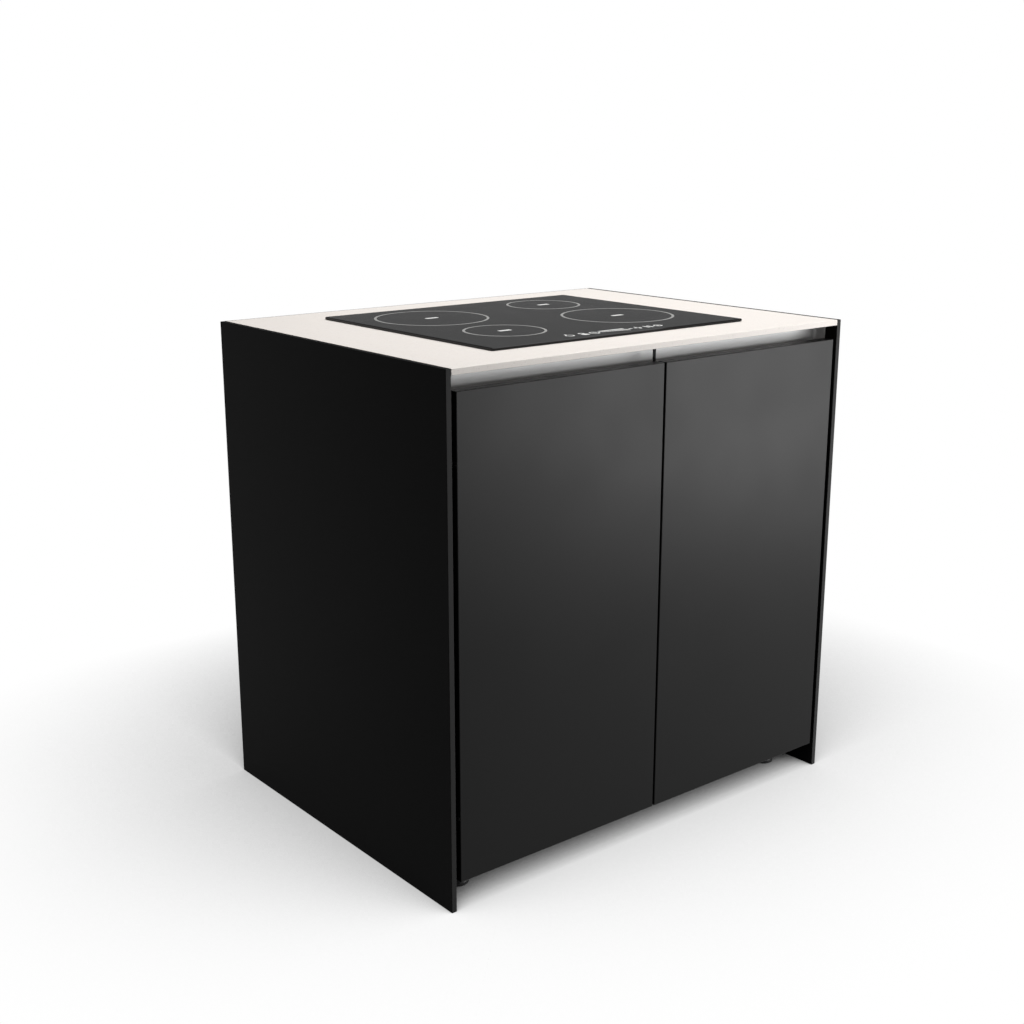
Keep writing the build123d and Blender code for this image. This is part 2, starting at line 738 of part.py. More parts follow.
def hob_casing():
    """Sheet tray glued under the glass, with an intake under the fan and an outlet in front."""
    side = casing_width / 2
    tray = plate(0, hob_y, casing_width, casing_depth, GLASS_CORNER, casing_bottom, glass_under)
    tray -= block(
        -side + CASING_SHEET, side - CASING_SHEET,
        casing_front + CASING_SHEET, casing_rear - CASING_SHEET,
        casing_floor, glass_under - CASING_SHEET,
    )
    tray -= block(
        -side + CASING_LAND, side - CASING_LAND,
        casing_front + CASING_LAND, casing_rear - CASING_LAND,
        casing_floor, glass_under + 1,
    )
    for i in range(INTAKE_SLOTS):
        x = (i - (INTAKE_SLOTS - 1) / 2) * INTAKE_PITCH
        half = (FAN_RADIUS ** 2 - x ** 2) ** 0.5 - INTAKE_SLOT
        tray -= block(
            fan_x + x - INTAKE_SLOT / 2, fan_x + x + INTAKE_SLOT / 2, fan_y - half, fan_y + half,
            casing_bottom - 1, casing_floor + 1,
        )
    for i in range(OUTLET_SLOTS):
        x = (i - (OUTLET_SLOTS - 1) / 2) * OUTLET_PITCH
        bottom = casing_floor + OUTLET_LIFT
        tray -= block(
            x - OUTLET_WIDTH / 2, x + OUTLET_WIDTH / 2, casing_front - 1, casing_front + CASING_SHEET + 1,
            bottom, bottom + OUTLET_HEIGHT,
        )
    return tray


def coil_windings():
    rings = []
    for x, y, radius in zones:
        ring = rod(radius - COIL_INSET, x, y, winding_bottom, winding_top)
        rings.append(ring - rod(COIL_HOLE, x, y, winding_bottom - 1, winding_top + 1))
    return rings


def coil_formers():
    discs = []
    for x, y, radius in zones:
        disc = rod(radius - COIL_INSET + FORMER_RIM, x, y, former_bottom, winding_bottom)
        discs.append(disc - rod(FORMER_HOLE, x, y, former_bottom - 1, winding_bottom + 1))
    return discs


def coil_ferrites():
    """Bars that lie like spokes under each coil."""
    bars = []
    for x, y, radius in zones:
        length = radius - COIL_INSET - COIL_HOLE
        for i in range(FERRITE_COUNT):
            bar = Pos(COIL_HOLE + length / 2, 0, 0) * Box(length, FERRITE_WIDTH, FERRITE)
            turned = Rot(0, 0, (i + 0.5) * 360 / FERRITE_COUNT) * bar
            bars.append(Pos(x, y, ferrite_bottom + FERRITE / 2) * turned)
    return bars


def coil_tray():
    reach_x = casing_width / 2 - CASING_SHEET - TRAY_FIT
    reach_y = casing_depth / 2 - CASING_SHEET - TRAY_FIT
    tray = block(-reach_x, reach_x, hob_y - reach_y, hob_y + reach_y, tray_bottom, ferrite_bottom)
    for x, y, radius in zones:
        tray -= rod(FORMER_HOLE, x, y, tray_bottom - 1, ferrite_bottom + 1)
    return tray


def power_board():
    """Circuit board on its standoffs with the large components soldered to it."""
    front = hob_y - BOARD_DEPTH / 2
    rear = hob_y + BOARD_DEPTH / 2
    board = block(board_left, board_right, front, rear, board_bottom, board_top)
    for x in (board_left + STANDOFF_INSET, board_right - STANDOFF_INSET):
        for y in (front + STANDOFF_INSET, rear - STANDOFF_INSET):
            board += rod(STANDOFF_RADIUS, x, y, casing_floor, board_bottom)
    return board + components()


def components():
    """Capacitors, relays, choke and filter on the power board."""
    parts = []
    for i in range(CAPACITORS):
        x = board_left + FIRST_COMPONENT + i * CAPACITOR_PITCH
        parts.append(rod(CAPACITOR_RADIUS, x, hob_y + CAPACITOR_ROW, board_top, board_top + CAPACITOR_HEIGHT))
    for i in range(RELAYS):
        x = board_left + FIRST_COMPONENT + i * RELAY_PITCH
        y = hob_y + RELAY_ROW
        parts.append(block(
            x - RELAY_WIDTH / 2, x + RELAY_WIDTH / 2, y - RELAY_DEPTH / 2, y + RELAY_DEPTH / 2,
            board_top, board_top + RELAY_HEIGHT,
        ))
    x = board_right - FIRST_COMPONENT
    y = hob_y + CHOKE_ROW
    choke = rod(CHOKE_RADIUS, x, y, board_top, board_top + CHOKE_HEIGHT)
    parts.append(choke - rod(CHOKE_BORE, x, y, board_top + BOARD, board_top + CHOKE_HEIGHT + 1))
    y = hob_y + FILTER_ROW
    parts.append(block(
        x - FILTER_WIDTH / 2, x + FILTER_WIDTH / 2, y - FILTER_DEPTH / 2, y + FILTER_DEPTH / 2,
        board_top, board_top + FILTER_HEIGHT,
    ))
    return parts


def heat_sink():
    """Comb of fins in the fan's air stream."""
    y0 = sink_y - SINK_WIDTH / 2
    x0 = board_left + SINK_INSET
    sink = block(x0, x0 + SINK_LENGTH, y0, y0 + SINK_WIDTH, board_top, board_top + SINK_BASE)
    pitch = (SINK_WIDTH - SINK_FIN) / (SINK_FINS - 1)
    for i in range(SINK_FINS):
        y = y0 + i * pitch
        sink += block(x0, x0 + SINK_LENGTH, y, y + SINK_FIN, board_top, board_top + SINK_HEIGHT)
    return sink


def scroll_outline(inset, outlet):
    """Volute of three quarter arcs, each a step larger, that ends in a straight outlet."""
    diagonal = 0.5 ** 0.5
    first = SCROLL_START - inset
    second = first + SCROLL_STEP
    third = second + SCROLL_STEP
    step = SCROLL_STEP
    low = -step - third
    tongue = -SCROLL_TONGUE - inset
    return make_face([
        ThreePointArc((first, 0), (first * diagonal, first * diagonal), (0, first)),
        ThreePointArc((0, first), (-second * diagonal, second * diagonal - step), (-second, -step)),
        ThreePointArc((-second, -step), (step - third * diagonal, -step - third * diagonal), (step, low)),
        Line((step, low), (outlet, low)),
        Line((outlet, low), (outlet, tongue)),
        Line((outlet, tongue), (first, tongue)),
        Line((first, tongue), (first, 0)),
    ])


def fan_housing():
    """Scroll casing, open below at the intake, with the spindle under its lid."""
    shell = extrude(scroll_outline(0, SCROLL_OUTLET), FAN_HEIGHT)
    shell -= extrude(scroll_outline(FAN_WALL, SCROLL_OUTLET + 1), FAN_HEIGHT - FAN_WALL)
    shell += rod(SPINDLE_RADIUS, 0, 0, FAN_HEIGHT - FAN_WALL - SPINDLE_LENGTH, FAN_HEIGHT - FAN_WALL)
    return Pos(fan_x, fan_y, casing_floor) * shell


def polar(radius, degrees):
    return Vector(radius, 0).rotate(Axis.Z, degrees)


def fan_blade():
    """Forward-curved blade drawn from above, between its inner and outer radius."""
    middle = (BLADE_INNER + BLADE_OUTER) / 2
    thick = 360 * BLADE_THICKNESS / (2 * pi * middle)
    inner = [polar(BLADE_INNER, a) for a in (0, thick)]
    mid = [polar(middle, a) for a in (BLADE_SWEEP * 0.3, BLADE_SWEEP * 0.3 + thick)]
    outer = [polar(BLADE_OUTER, a) for a in (BLADE_SWEEP, BLADE_SWEEP + thick)]
    outline = make_face([
        ThreePointArc(inner[0], mid[0], outer[0]),
        Line(outer[0], outer[1]),
        ThreePointArc(outer[1], mid[1], inner[1]),
        Line(inner[1], inner[0]),
    ])
    return extrude(outline, BLADE_HEIGHT + BACKPLATE / 2)


def fan_rotor():
    """Hub, backplate and curved blades of the radial fan."""
    bottom = rotor_top - HUB_HEIGHT
    rotor = rod(HUB_RADIUS, 0, 0, bottom, rotor_top)
    rotor += rod(FAN_RADIUS, 0, 0, rotor_top - BACKPLATE, rotor_top)
    blade = Pos(0, 0, rotor_top - BACKPLATE - BLADE_HEIGHT) * fan_blade()
    for i in range(BLADE_COUNT):
        rotor += Rot(0, 0, i * 360 / BLADE_COUNT) * blade
    bore = SPINDLE_RADIUS + SPINDLE_RUNNING
    rotor -= rod(bore, 0, 0, fan_top - FAN_WALL - SPINDLE_LENGTH - 1, rotor_top + 1)
    return Pos(fan_x, fan_y, 0) * rotor


def touch_board():
    """Board of the touch keys on its legs, with a sprung pad under each key."""
    half = TOUCH_LENGTH / 2
    y0 = touch_y - TOUCH_WIDTH / 2
    y1 = touch_y + TOUCH_WIDTH / 2
    bottom = ferrite_bottom + STANDOFF
    board = block(-half, half, y0, y1, bottom, bottom + BOARD)
    for x in (-half + TOUCH_LEG_INSET, half - TOUCH_LEG_INSET):
        for y in (y0 + TOUCH_LEG_INSET, y1 - TOUCH_LEG_INSET):
            board += rod(TOUCH_LEG_RADIUS, x, y, ferrite_bottom, bottom)
    for i in range(TOUCH_PADS):
        x = (i - (TOUCH_PADS - 1) / 2) * TOUCH_LENGTH / (TOUCH_PADS + 1)
        board += rod(TOUCH_PAD_RADIUS, x, touch_y, bottom + BOARD, winding_top)
    return board


def hob_clamps():
    """Bent clips on the casing that pull the hob down against the worktop."""
    clips = []
    side = casing_width / 2
    for y in (hob_y - CLAMP_SPREAD, hob_y + CLAMP_SPREAD):
        low = casing_floor + CASING_HEIGHT / 5
        tab = worktop_under - REST_GAP
        leg = block(
            -side - CLAMP_SHEET, -side, y - CLAMP_WIDTH / 2, y + CLAMP_WIDTH / 2, low, tab
        )
        foot_plate = block(
            -side - CLAMP_REACH, -side, y - CLAMP_WIDTH / 2, y + CLAMP_WIDTH / 2, tab - CLAMP_SHEET, tab
        )
        clips.append(leg + foot_plate)
    return clips + [mirrored(clip) for clip in clips]


def terminal_box():
    """Box under the casing where the supply is connected."""
    x = casing_width / 2 - TERMINAL_WIDTH
    y = casing_rear - TERMINAL_DEPTH
    box = block(
        x - TERMINAL_WIDTH / 2, x + TERMINAL_WIDTH / 2, y - TERMINAL_DEPTH / 2, y + TERMINAL_DEPTH / 2,
        casing_bottom - TERMINAL_HEIGHT, casing_bottom,
    )
    return fillet(box.edges().filter_by(Axis.Z), TERMINAL_ROUND)


def cable_gland():
    """Gland through the carcass floor: flange, body and hexagonal nut with a clear bore."""
    top = pan_top + GLAND_RISE
    gland = rod(GLAND_BODY, gland_x, gland_y, top - GLAND_LENGTH, top)
    nut = RegularPolygon(GLAND_NUT, 6)
    gland += Pos(gland_x, gland_y, pan_top) * extrude(nut, GLAND_NUT_ABOVE)
    gland += Pos(gland_x, gland_y, pan_under - GLAND_NUT_BELOW) * extrude(nut, GLAND_NUT_BELOW)
    return gland - rod(GLAND_BORE, gland_x, gland_y, top - GLAND_LENGTH - 1, top + 1)


save_pair("side_panel", side_panel())
save("worktop", worktop())
save("back_panel", back_panel())
save("base_pan", base_pan())
save_pair("wall", wall())
save_pair("front_post", post(carcass_front + POST / 2, channel_bottom))
save_pair("rear_post", post(carcass_back - POST / 2, worktop_under))
save("front_top_rail", front_top_rail())
save("rear_top_rail", rear_top_rail())
save("centre_divider", centre_divider())
save_pair("finger_channel", finger_channel())
save("heat_shield", heat_shield())
save_pair("shelf", shelf())
save("shelf_pins", *shelf_pins())
save("side_panel_bolts", *side_panel_bolts())

corners = {
    "front_left": (-foot_x, -foot_y),
    "front_right": (foot_x, -foot_y),
    "rear_left": (-foot_x, foot_y),
    "rear_right": (foot_x, foot_y),
}
save("foot_sockets", *[foot_socket(x, y) for x, y in corners.values()])
for corner, (x, y) in corners.items():
    save(f"{corner}_foot", foot(x, y))

save_pair("door_skin", door_skin())
save_pair("door_core", door_core())
save_pair("door_back", door_back())
save_pair("door_bumpers", *door_bumpers())
save_pair("strike_plate", strike_plate())
save("magnet_catches", magnet_catch(), mirrored(magnet_catch()))
save_pair("hinge_brackets", *[hinge_bracket(z) for z in hinge_levels])
save_pair("hinge_bushes", *[hinge_bush(z) for z in hinge_levels])
save_pair("hinge_blocks", *[hinge_block(z) for z in hinge_levels])
save_pair("hinge_pins", *[hinge_pin(z) for z in hinge_levels])

save("hob_glass", hob_glass())
save("hob_seal", hob_seal())
save("hob_casing", hob_casing())
save("hob_coil_windings", *coil_windings())
save("hob_coil_formers", *coil_formers())
save("hob_coil_ferrites", *coil_ferrites())
save("hob_coil_tray", coil_tray())
save("hob_power_board", power_board())
save("hob_heat_sink", heat_sink())
save("hob_fan_housing", fan_housing())
save("hob_fan_rotor", fan_rotor())
save("hob_touch_board", touch_board())
save("hob_clamps", *hob_clamps())
save("hob_terminal_box", terminal_box())
save("cable_gland", cable_gland())
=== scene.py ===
import math

import bpy
from mathutils import Matrix, Vector

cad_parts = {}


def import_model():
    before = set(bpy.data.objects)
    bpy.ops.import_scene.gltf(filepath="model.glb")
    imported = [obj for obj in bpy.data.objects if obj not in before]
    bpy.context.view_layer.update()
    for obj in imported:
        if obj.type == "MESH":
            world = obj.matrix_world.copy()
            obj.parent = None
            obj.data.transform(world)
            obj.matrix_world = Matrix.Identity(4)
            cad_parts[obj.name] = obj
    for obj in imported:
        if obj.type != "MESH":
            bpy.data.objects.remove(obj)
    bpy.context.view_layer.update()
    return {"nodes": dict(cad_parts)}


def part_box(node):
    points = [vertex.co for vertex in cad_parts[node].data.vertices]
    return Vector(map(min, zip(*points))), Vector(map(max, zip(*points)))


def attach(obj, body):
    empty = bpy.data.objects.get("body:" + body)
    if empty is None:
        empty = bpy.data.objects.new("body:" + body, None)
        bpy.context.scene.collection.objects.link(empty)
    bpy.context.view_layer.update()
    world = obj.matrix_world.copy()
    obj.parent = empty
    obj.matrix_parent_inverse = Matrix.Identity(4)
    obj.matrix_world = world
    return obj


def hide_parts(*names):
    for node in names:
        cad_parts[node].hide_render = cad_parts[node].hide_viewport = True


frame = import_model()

# Looks of an outdoor kitchen module with an induction hob in its worktop.
# X runs to the right, Y to the back and Z up, in metres.

nodes = frame["nodes"]
MM = 0.001

# Lengths that come from the frame
glass_low, glass_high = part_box("hob_glass")
glass_centre = (glass_low + glass_high) / 2
glass_width = glass_high.x - glass_low.x
glass_depth = glass_high.y - glass_low.y
casing_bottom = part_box("hob_casing")[0].z


# Nodes of a material

def linear(code):
    """Linear colour of an sRGB hex value."""
    shares = [int(code[i:i + 2], 16) / 255 for i in (1, 3, 5)]
    return (*[s / 12.92 if s <= 0.04045 else ((s + 0.055) / 1.055) ** 2.4 for s in shares], 1.0)


def add(tree, kind, settings=None, links=None):
    """Add one node, set its values and link its inputs."""
    node = tree.nodes.new(kind)
    for name, value in (settings or {}).items():
        if isinstance(name, int) or name in node.inputs:
            node.inputs[name].default_value = value
        else:
            setattr(node, name, value)
    for name, source in (links or {}).items():
        tree.links.new(source, node.inputs[name])
    return node


def begin(name):
    """A new material with its node tree emptied, and the tree's Object coordinates."""
    material = bpy.data.materials.new(name)
    material.use_nodes = True
    tree = material.node_tree
    tree.nodes.clear()
    place = add(tree, "ShaderNodeTexCoord").outputs["Object"]
    return material, tree, place


# Finishes

# Range that holds most of a noise texture's values
NOISE_LOW = 0.35
NOISE_HIGH = 0.65


def lacquered_door_steel():
    """Deep-matt powder lacquer on steel: near black, with a faint broad sheen and a fine orange peel."""
    material, tree, place = begin("deep_matt_powder_lacquer")
    cloud = add(tree, "ShaderNodeTexNoise", {"Scale": 1 / (180 * MM)}, {"Vector": place}).outputs[0]
    peel = add(tree, "ShaderNodeTexNoise", {"Scale": 1 / (1.4 * MM)}, {"Vector": place}).outputs[0]
    colour = add(
        tree, "ShaderNodeMix", {"data_type": "RGBA", 6: linear("#0d0d0d"), 7: linear("#0f0f0f")}, {0: cloud},
    )
    rough = add(
        tree, "ShaderNodeMapRange",
        {"From Min": NOISE_LOW, "From Max": NOISE_HIGH, "To Min": 0.38, "To Max": 0.42}, {"Value": cloud},
    )
    bump = add(tree, "ShaderNodeBump", {"Strength": 0.5, "Distance": 0.01 * MM}, {"Height": peel})
    shader = add(
        tree, "ShaderNodeBsdfPrincipled", {"Specular IOR Level": 0.13},
        {"Base Color": colour.outputs[2], "Roughness": rough.outputs[0], "Normal": bump.outputs[0]},
    )
    add(tree, "ShaderNodeOutputMaterial", links={"Surface": shader.outputs[0]})
    return material


def compact_laminate():
    """Black compact laminate: a dry matt face, with the front and rear cut edges painted paler, a painted
    highlight for the light that falls on the front edge.
    """
    material, tree, place = begin("black_compact_laminate")
    cloud = add(tree, "ShaderNodeTexNoise", {"Scale": 1 / (120 * MM)}, {"Vector": place}).outputs[0]
    tooth = add(tree, "ShaderNodeTexNoise", {"Scale": 1 / (0.9 * MM)}, {"Vector": place}).outputs[0]
    face = add(
        tree, "ShaderNodeMix", {"data_type": "RGBA", 6: linear("#151515"), 7: linear("#181818")}, {0: cloud},
    )
    normal = add(tree, "ShaderNodeTexCoord").outputs["Normal"]
    facing = add(tree, "ShaderNodeSeparateXYZ", links={"Vector": normal})
    forwards = add(tree, "ShaderNodeMath", {"operation": "ABSOLUTE"}, {0: facing.outputs["Y"]})
    # Front and rear edges, painted paler than the face: a painted highlight for the light on the front edge
    painted_edge_highlight = add(
        tree, "ShaderNodeMapRange", {"From Min": 0.5, "From Max": 0.9}, {"Value": forwards.outputs[0]},
    )
    colour = add(
        tree, "ShaderNodeMix", {"data_type": "RGBA", 7: linear("#3e3e3e")},
        {0: painted_edge_highlight.outputs[0], 6: face.outputs[2]},
    )
    rough = add(
        tree, "ShaderNodeMapRange",
        {"From Min": NOISE_LOW, "From Max": NOISE_HIGH, "To Min": 0.42, "To Max": 0.5}, {"Value": tooth},
    )
    bump = add(tree, "ShaderNodeBump", {"Strength": 0.5, "Distance": 0.01 * MM}, {"Height": tooth})
    shader = add(
        tree, "ShaderNodeBsdfPrincipled", {"Specular IOR Level": 0.015},
        {"Base Color": colour.outputs[2], "Roughness": rough.outputs[0], "Normal": bump.outputs[0]},
    )
    add(tree, "ShaderNodeOutputMaterial", links={"Surface": shader.outputs[0]})
    return material


def honed_stone():
    """Warm off-white engineered stone, honed: an even pale ground with faint grains 1 to 3 mm wide."""
    material, tree, place = begin("honed_engineered_stone")
    cloud = add(tree, "ShaderNodeTexNoise", {"Scale": 1 / (60 * MM)}, {"Vector": place}).outputs[0]
    ground = add(
        tree, "ShaderNodeMix", {"data_type": "RGBA", 6: linear("#f1eae4"), 7: linear("#efe9e3")}, {0: cloud},
    )
    grains = add(tree, "ShaderNodeTexVoronoi", {"Scale": 1 / (2.4 * MM)}, {"Vector": place})
    chance = add(tree, "ShaderNodeSeparateColor", links={"Color": grains.outputs["Color"]})
    grey_share = add(
        tree, "ShaderNodeMapRange", {"From Min": 0.9, "From Max": 0.98, "To Max": 0.4},
        {"Value": chance.outputs[0]},
    )
    with_grey = add(
        tree, "ShaderNodeMix", {"data_type": "RGBA", 7: linear("#ddd6cf")},
        {0: grey_share.outputs[0], 6: ground.outputs[2]},
    )
    white_share = add(
        tree, "ShaderNodeMapRange", {"From Min": 0.88, "From Max": 0.98, "To Max": 0.4},
        {"Value": chance.outputs[1]},
    )
    with_white = add(
        tree, "ShaderNodeMix", {"data_type": "RGBA", 7: linear("#f7f4f0")},
        {0: white_share.outputs[0], 6: with_grey.outputs[2]},
    )
    tooth = add(tree, "ShaderNodeTexNoise", {"Scale": 1 / (0.8 * MM)}, {"Vector": place}).outputs[0]
    rough = add(
        tree, "ShaderNodeMapRange",
        {"From Min": NOISE_LOW, "From Max": NOISE_HIGH, "To Min": 0.5, "To Max": 0.58}, {"Value": tooth},
    )
    bump = add(tree, "ShaderNodeBump", {"Strength": 0.4, "Distance": 0.01 * MM}, {"Height": tooth})
    shader = add(
        tree, "ShaderNodeBsdfPrincipled", {"Specular IOR Level": 0.3},
        {"Base Color": with_white.outputs[2], "Roughness": rough.outputs[0], "Normal": bump.outputs[0]},
    )
    add(tree, "ShaderNodeOutputMaterial", links={"Surface": shader.outputs[0]})
    return material


def glass_ceramic():
    """Black glass ceramic, polished: almost no colour of its own, so it shows what it mirrors."""
    material, tree, place = begin("black_glass_ceramic")
    ripple = add(tree, "ShaderNodeTexNoise", {"Scale": 1 / (90 * MM), "Detail": 1.0}, {"Vector": place})
    smear = add(
        tree, "ShaderNodeTexNoise", {"Scale": 1 / (40 * MM), "Detail": 4.0}, {"Vector": place},
    ).outputs[0]
    colour = add(
        tree, "ShaderNodeMix", {"data_type": "RGBA", 6: linear("#0b0b0c"), 7: linear("#0f0f10")}, {0: smear},
    )
    rough = add(
        tree, "ShaderNodeMapRange",
        {"From Min": NOISE_LOW, "From Max": NOISE_HIGH, "To Min": 0.05, "To Max": 0.09}, {"Value": smear},
    )
    bump = add(
        tree, "ShaderNodeBump", {"Strength": 0.2, "Distance": 0.01 * MM}, {"Height": ripple.outputs[0]},
    )
    shader = add(
        tree, "ShaderNodeBsdfPrincipled", {"IOR": 1.52, "Specular IOR Level": 0.2},
        {"Base Color": colour.outputs[2], "Roughness": rough.outputs[0], "Normal": bump.outputs[0]},
    )
    add(tree, "ShaderNodeOutputMaterial", links={"Surface": shader.outputs[0]})
    return material


def ceramic_print(name, first, second):
    """Enamel screen-printed on the glass, a little rougher than the glass."""
    material, tree, place = begin(name)
    dots = add(tree, "ShaderNodeTexNoise", {"Scale": 1 / (0.8 * MM)}, {"Vector": place}).outputs[0]
    colour = add(
        tree, "ShaderNodeMix", {"data_type": "RGBA", 6: linear(first), 7: linear(second)}, {0: dots},
    )
    shader = add(
        tree, "ShaderNodeBsdfPrincipled", {"Roughness": 0.5, "Specular IOR Level": 0.3},
        {"Base Color": colour.outputs[2]},
    )
    add(tree, "ShaderNodeOutputMaterial", links={"Surface": shader.outputs[0]})
    return material


def blasted_aluminium():
    """Aluminium extrusion, bead-blasted and clear anodised: pale grey, with a wide soft sheen."""
    material, tree, place = begin("blasted_anodised_aluminium")
    grit = add(tree, "ShaderNodeTexNoise", {"Scale": 1 / (0.8 * MM)}, {"Vector": place}).outputs[0]
    colour = add(
        tree, "ShaderNodeMix", {"data_type": "RGBA", 6: linear("#bcbcbc"), 7: linear("#c4c4c4")}, {0: grit},
    )
    rough = add(
        tree, "ShaderNodeMapRange",
        {"From Min": NOISE_LOW, "From Max": NOISE_HIGH, "To Min": 0.64, "To Max": 0.7}, {"Value": grit},
    )
    bump = add(tree, "ShaderNodeBump", {"Strength": 0.3, "Distance": 0.01 * MM}, {"Height": grit})
    shader = add(
        tree, "ShaderNodeBsdfPrincipled", {"Metallic": 1.0},
        {"Base Color": colour.outputs[2], "Roughness": rough.outputs[0], "Normal": bump.outputs[0]},
    )
    add(tree, "ShaderNodeOutputMaterial", links={"Surface": shader.outputs[0]})
    return material


def carcass_coat():
    """Black powder coat on folded sheet: fine sandy texture, matt."""
    material, tree, place = begin("sandy_black_powder_coat")
    sand = add(tree, "ShaderNodeTexNoise", {"Scale": 1 / (0.7 * MM)}, {"Vector": place}).outputs[0]
    cloud = add(tree, "ShaderNodeTexNoise", {"Scale": 1 / (150 * MM)}, {"Vector": place}).outputs[0]
    colour = add(
        tree, "ShaderNodeMix", {"data_type": "RGBA", 6: linear("#141415"), 7: linear("#19191a")}, {0: cloud},
    )
    rough = add(
        tree, "ShaderNodeMapRange",
        {"From Min": NOISE_LOW, "From Max": NOISE_HIGH, "To Min": 0.55, "To Max": 0.7}, {"Value": sand},
    )
    bump = add(tree, "ShaderNodeBump", {"Strength": 0.6, "Distance": 0.05 * MM}, {"Height": sand})
    shader = add(
        tree, "ShaderNodeBsdfPrincipled", {"Specular IOR Level": 0.08},
        {"Base Color": colour.outputs[2], "Roughness": rough.outputs[0], "Normal": bump.outputs[0]},
    )
    add(tree, "ShaderNodeOutputMaterial", links={"Surface": shader.outputs[0]})
    return material


def galvanised():
    """Hot-dip galvanised sheet: grey metal with flat zinc crystals 8 mm wide."""
    material, tree, place = begin("galvanised_steel_sheet")
    crystals = add(tree, "ShaderNodeTexVoronoi", {"Scale": 1 / (8 * MM)}, {"Vector": place})
    share = add(tree, "ShaderNodeSeparateColor", links={"Color": crystals.outputs["Color"]}).outputs[0]
    colour = add(
        tree, "ShaderNodeMix", {"data_type": "RGBA", 6: linear("#a6a9ab"), 7: linear("#bcbfc1")}, {0: share},
    )
    rough = add(tree, "ShaderNodeMapRange", {"To Min": 0.34, "To Max": 0.5}, {"Value": share})
    shader = add(
        tree, "ShaderNodeBsdfPrincipled", {"Metallic": 1.0},
        {"Base Color": colour.outputs[2], "Roughness": rough.outputs[0]},
    )
    add(tree, "ShaderNodeOutputMaterial", links={"Surface": shader.outputs[0]})
    return material


def brushed_steel():
    """Stainless steel with fine brush marks along Z."""
    material, tree, place = begin("brushed_stainless_steel")
    drawn = add(tree, "ShaderNodeMapping", {"Scale": (1, 1, 0.05)}, {"Vector": place})
    lines = add(
        tree, "ShaderNodeTexNoise", {"Scale": 1 / (0.5 * MM)}, {"Vector": drawn.outputs[0]},
    ).outputs[0]
    colour = add(
        tree, "ShaderNodeMix", {"data_type": "RGBA", 6: linear("#b3b2b0"), 7: linear("#c6c5c3")}, {0: lines},
    )
    rough = add(
        tree, "ShaderNodeMapRange",
        {"From Min": NOISE_LOW, "From Max": NOISE_HIGH, "To Min": 0.24, "To Max": 0.36}, {"Value": lines},
    )
    bump = add(tree, "ShaderNodeBump", {"Strength": 0.4, "Distance": 0.01 * MM}, {"Height": lines})
    shader = add(
        tree, "ShaderNodeBsdfPrincipled", {"Metallic": 1.0},
        {"Base Color": colour.outputs[2], "Roughness": rough.outputs[0], "Normal": bump.outputs[0]},
    )
    add(tree, "ShaderNodeOutputMaterial", links={"Surface": shader.outputs[0]})
    return material


def die_cast_zinc():
    """Die-cast zinc of the hinge parts, tumbled to a soft grey."""
    material, tree, place = begin("tumbled_zinc_casting")
    skin = add(tree, "ShaderNodeTexNoise", {"Scale": 1 / (3 * MM)}, {"Vector": place}).outputs[0]
    colour = add(
        tree, "ShaderNodeMix", {"data_type": "RGBA", 6: linear("#8e8f90"), 7: linear("#a2a3a4")}, {0: skin},
    )
    rough = add(
        tree, "ShaderNodeMapRange",
        {"From Min": NOISE_LOW, "From Max": NOISE_HIGH, "To Min": 0.38, "To Max": 0.5}, {"Value": skin},
    )
    bump = add(tree, "ShaderNodeBump", {"Strength": 0.4, "Distance": 0.03 * MM}, {"Height": skin})
    shader = add(
        tree, "ShaderNodeBsdfPrincipled", {"Metallic": 1.0},
        {"Base Color": colour.outputs[2], "Roughness": rough.outputs[0], "Normal": bump.outputs[0]},
    )
    add(tree, "ShaderNodeOutputMaterial", links={"Surface": shader.outputs[0]})
    return material


def moulded(name, first, second, middle_rough):
    """Injection-moulded plastic or rubber with the texture of a spark-eroded mould."""
    low_rough, high_rough = middle_rough - 0.05, middle_rough + 0.05
    material, tree, place = begin(name)
    spark = add(tree, "ShaderNodeTexNoise", {"Scale": 1 / (1.2 * MM)}, {"Vector": place}).outputs[0]
    colour = add(
        tree, "ShaderNodeMix", {"data_type": "RGBA", 6: linear(first), 7: linear(second)}, {0: spark},
    )
    rough = add(
        tree, "ShaderNodeMapRange",
        {"From Min": NOISE_LOW, "From Max": NOISE_HIGH, "To Min": low_rough, "To Max": high_rough},
        {"Value": spark},
    )
    bump = add(tree, "ShaderNodeBump", {"Strength": 0.5, "Distance": 0.03 * MM}, {"Height": spark})
    shader = add(
        tree, "ShaderNodeBsdfPrincipled", {"Specular IOR Level": 0.4},
        {"Base Color": colour.outputs[2], "Roughness": rough.outputs[0], "Normal": bump.outputs[0]},
    )
    add(tree, "ShaderNodeOutputMaterial", links={"Surface": shader.outputs[0]})
    return material


def foam_board():
    """Rigid closed-cell foam, pale yellow, with cells about a millimetre wide."""
    material, tree, place = begin("rigid_foam_board")
    cells = add(
        tree, "ShaderNodeTexVoronoi", {"Scale": 1 / (1.1 * MM)}, {"Vector": place},
    ).outputs["Distance"]
    colour = add(
        tree, "ShaderNodeMix", {"data_type": "RGBA", 6: linear("#cfc7a4"), 7: linear("#dfd8bb")}, {0: cells},
    )
    bump = add(tree, "ShaderNodeBump", {"Strength": 0.6, "Distance": 0.3 * MM}, {"Height": cells})
    shader = add(
        tree, "ShaderNodeBsdfPrincipled", {"Roughness": 0.85, "Specular IOR Level": 0.2},
        {"Base Color": colour.outputs[2], "Normal": bump.outputs[0]},
    )
    add(tree, "ShaderNodeOutputMaterial", links={"Surface": shader.outputs[0]})
    return material


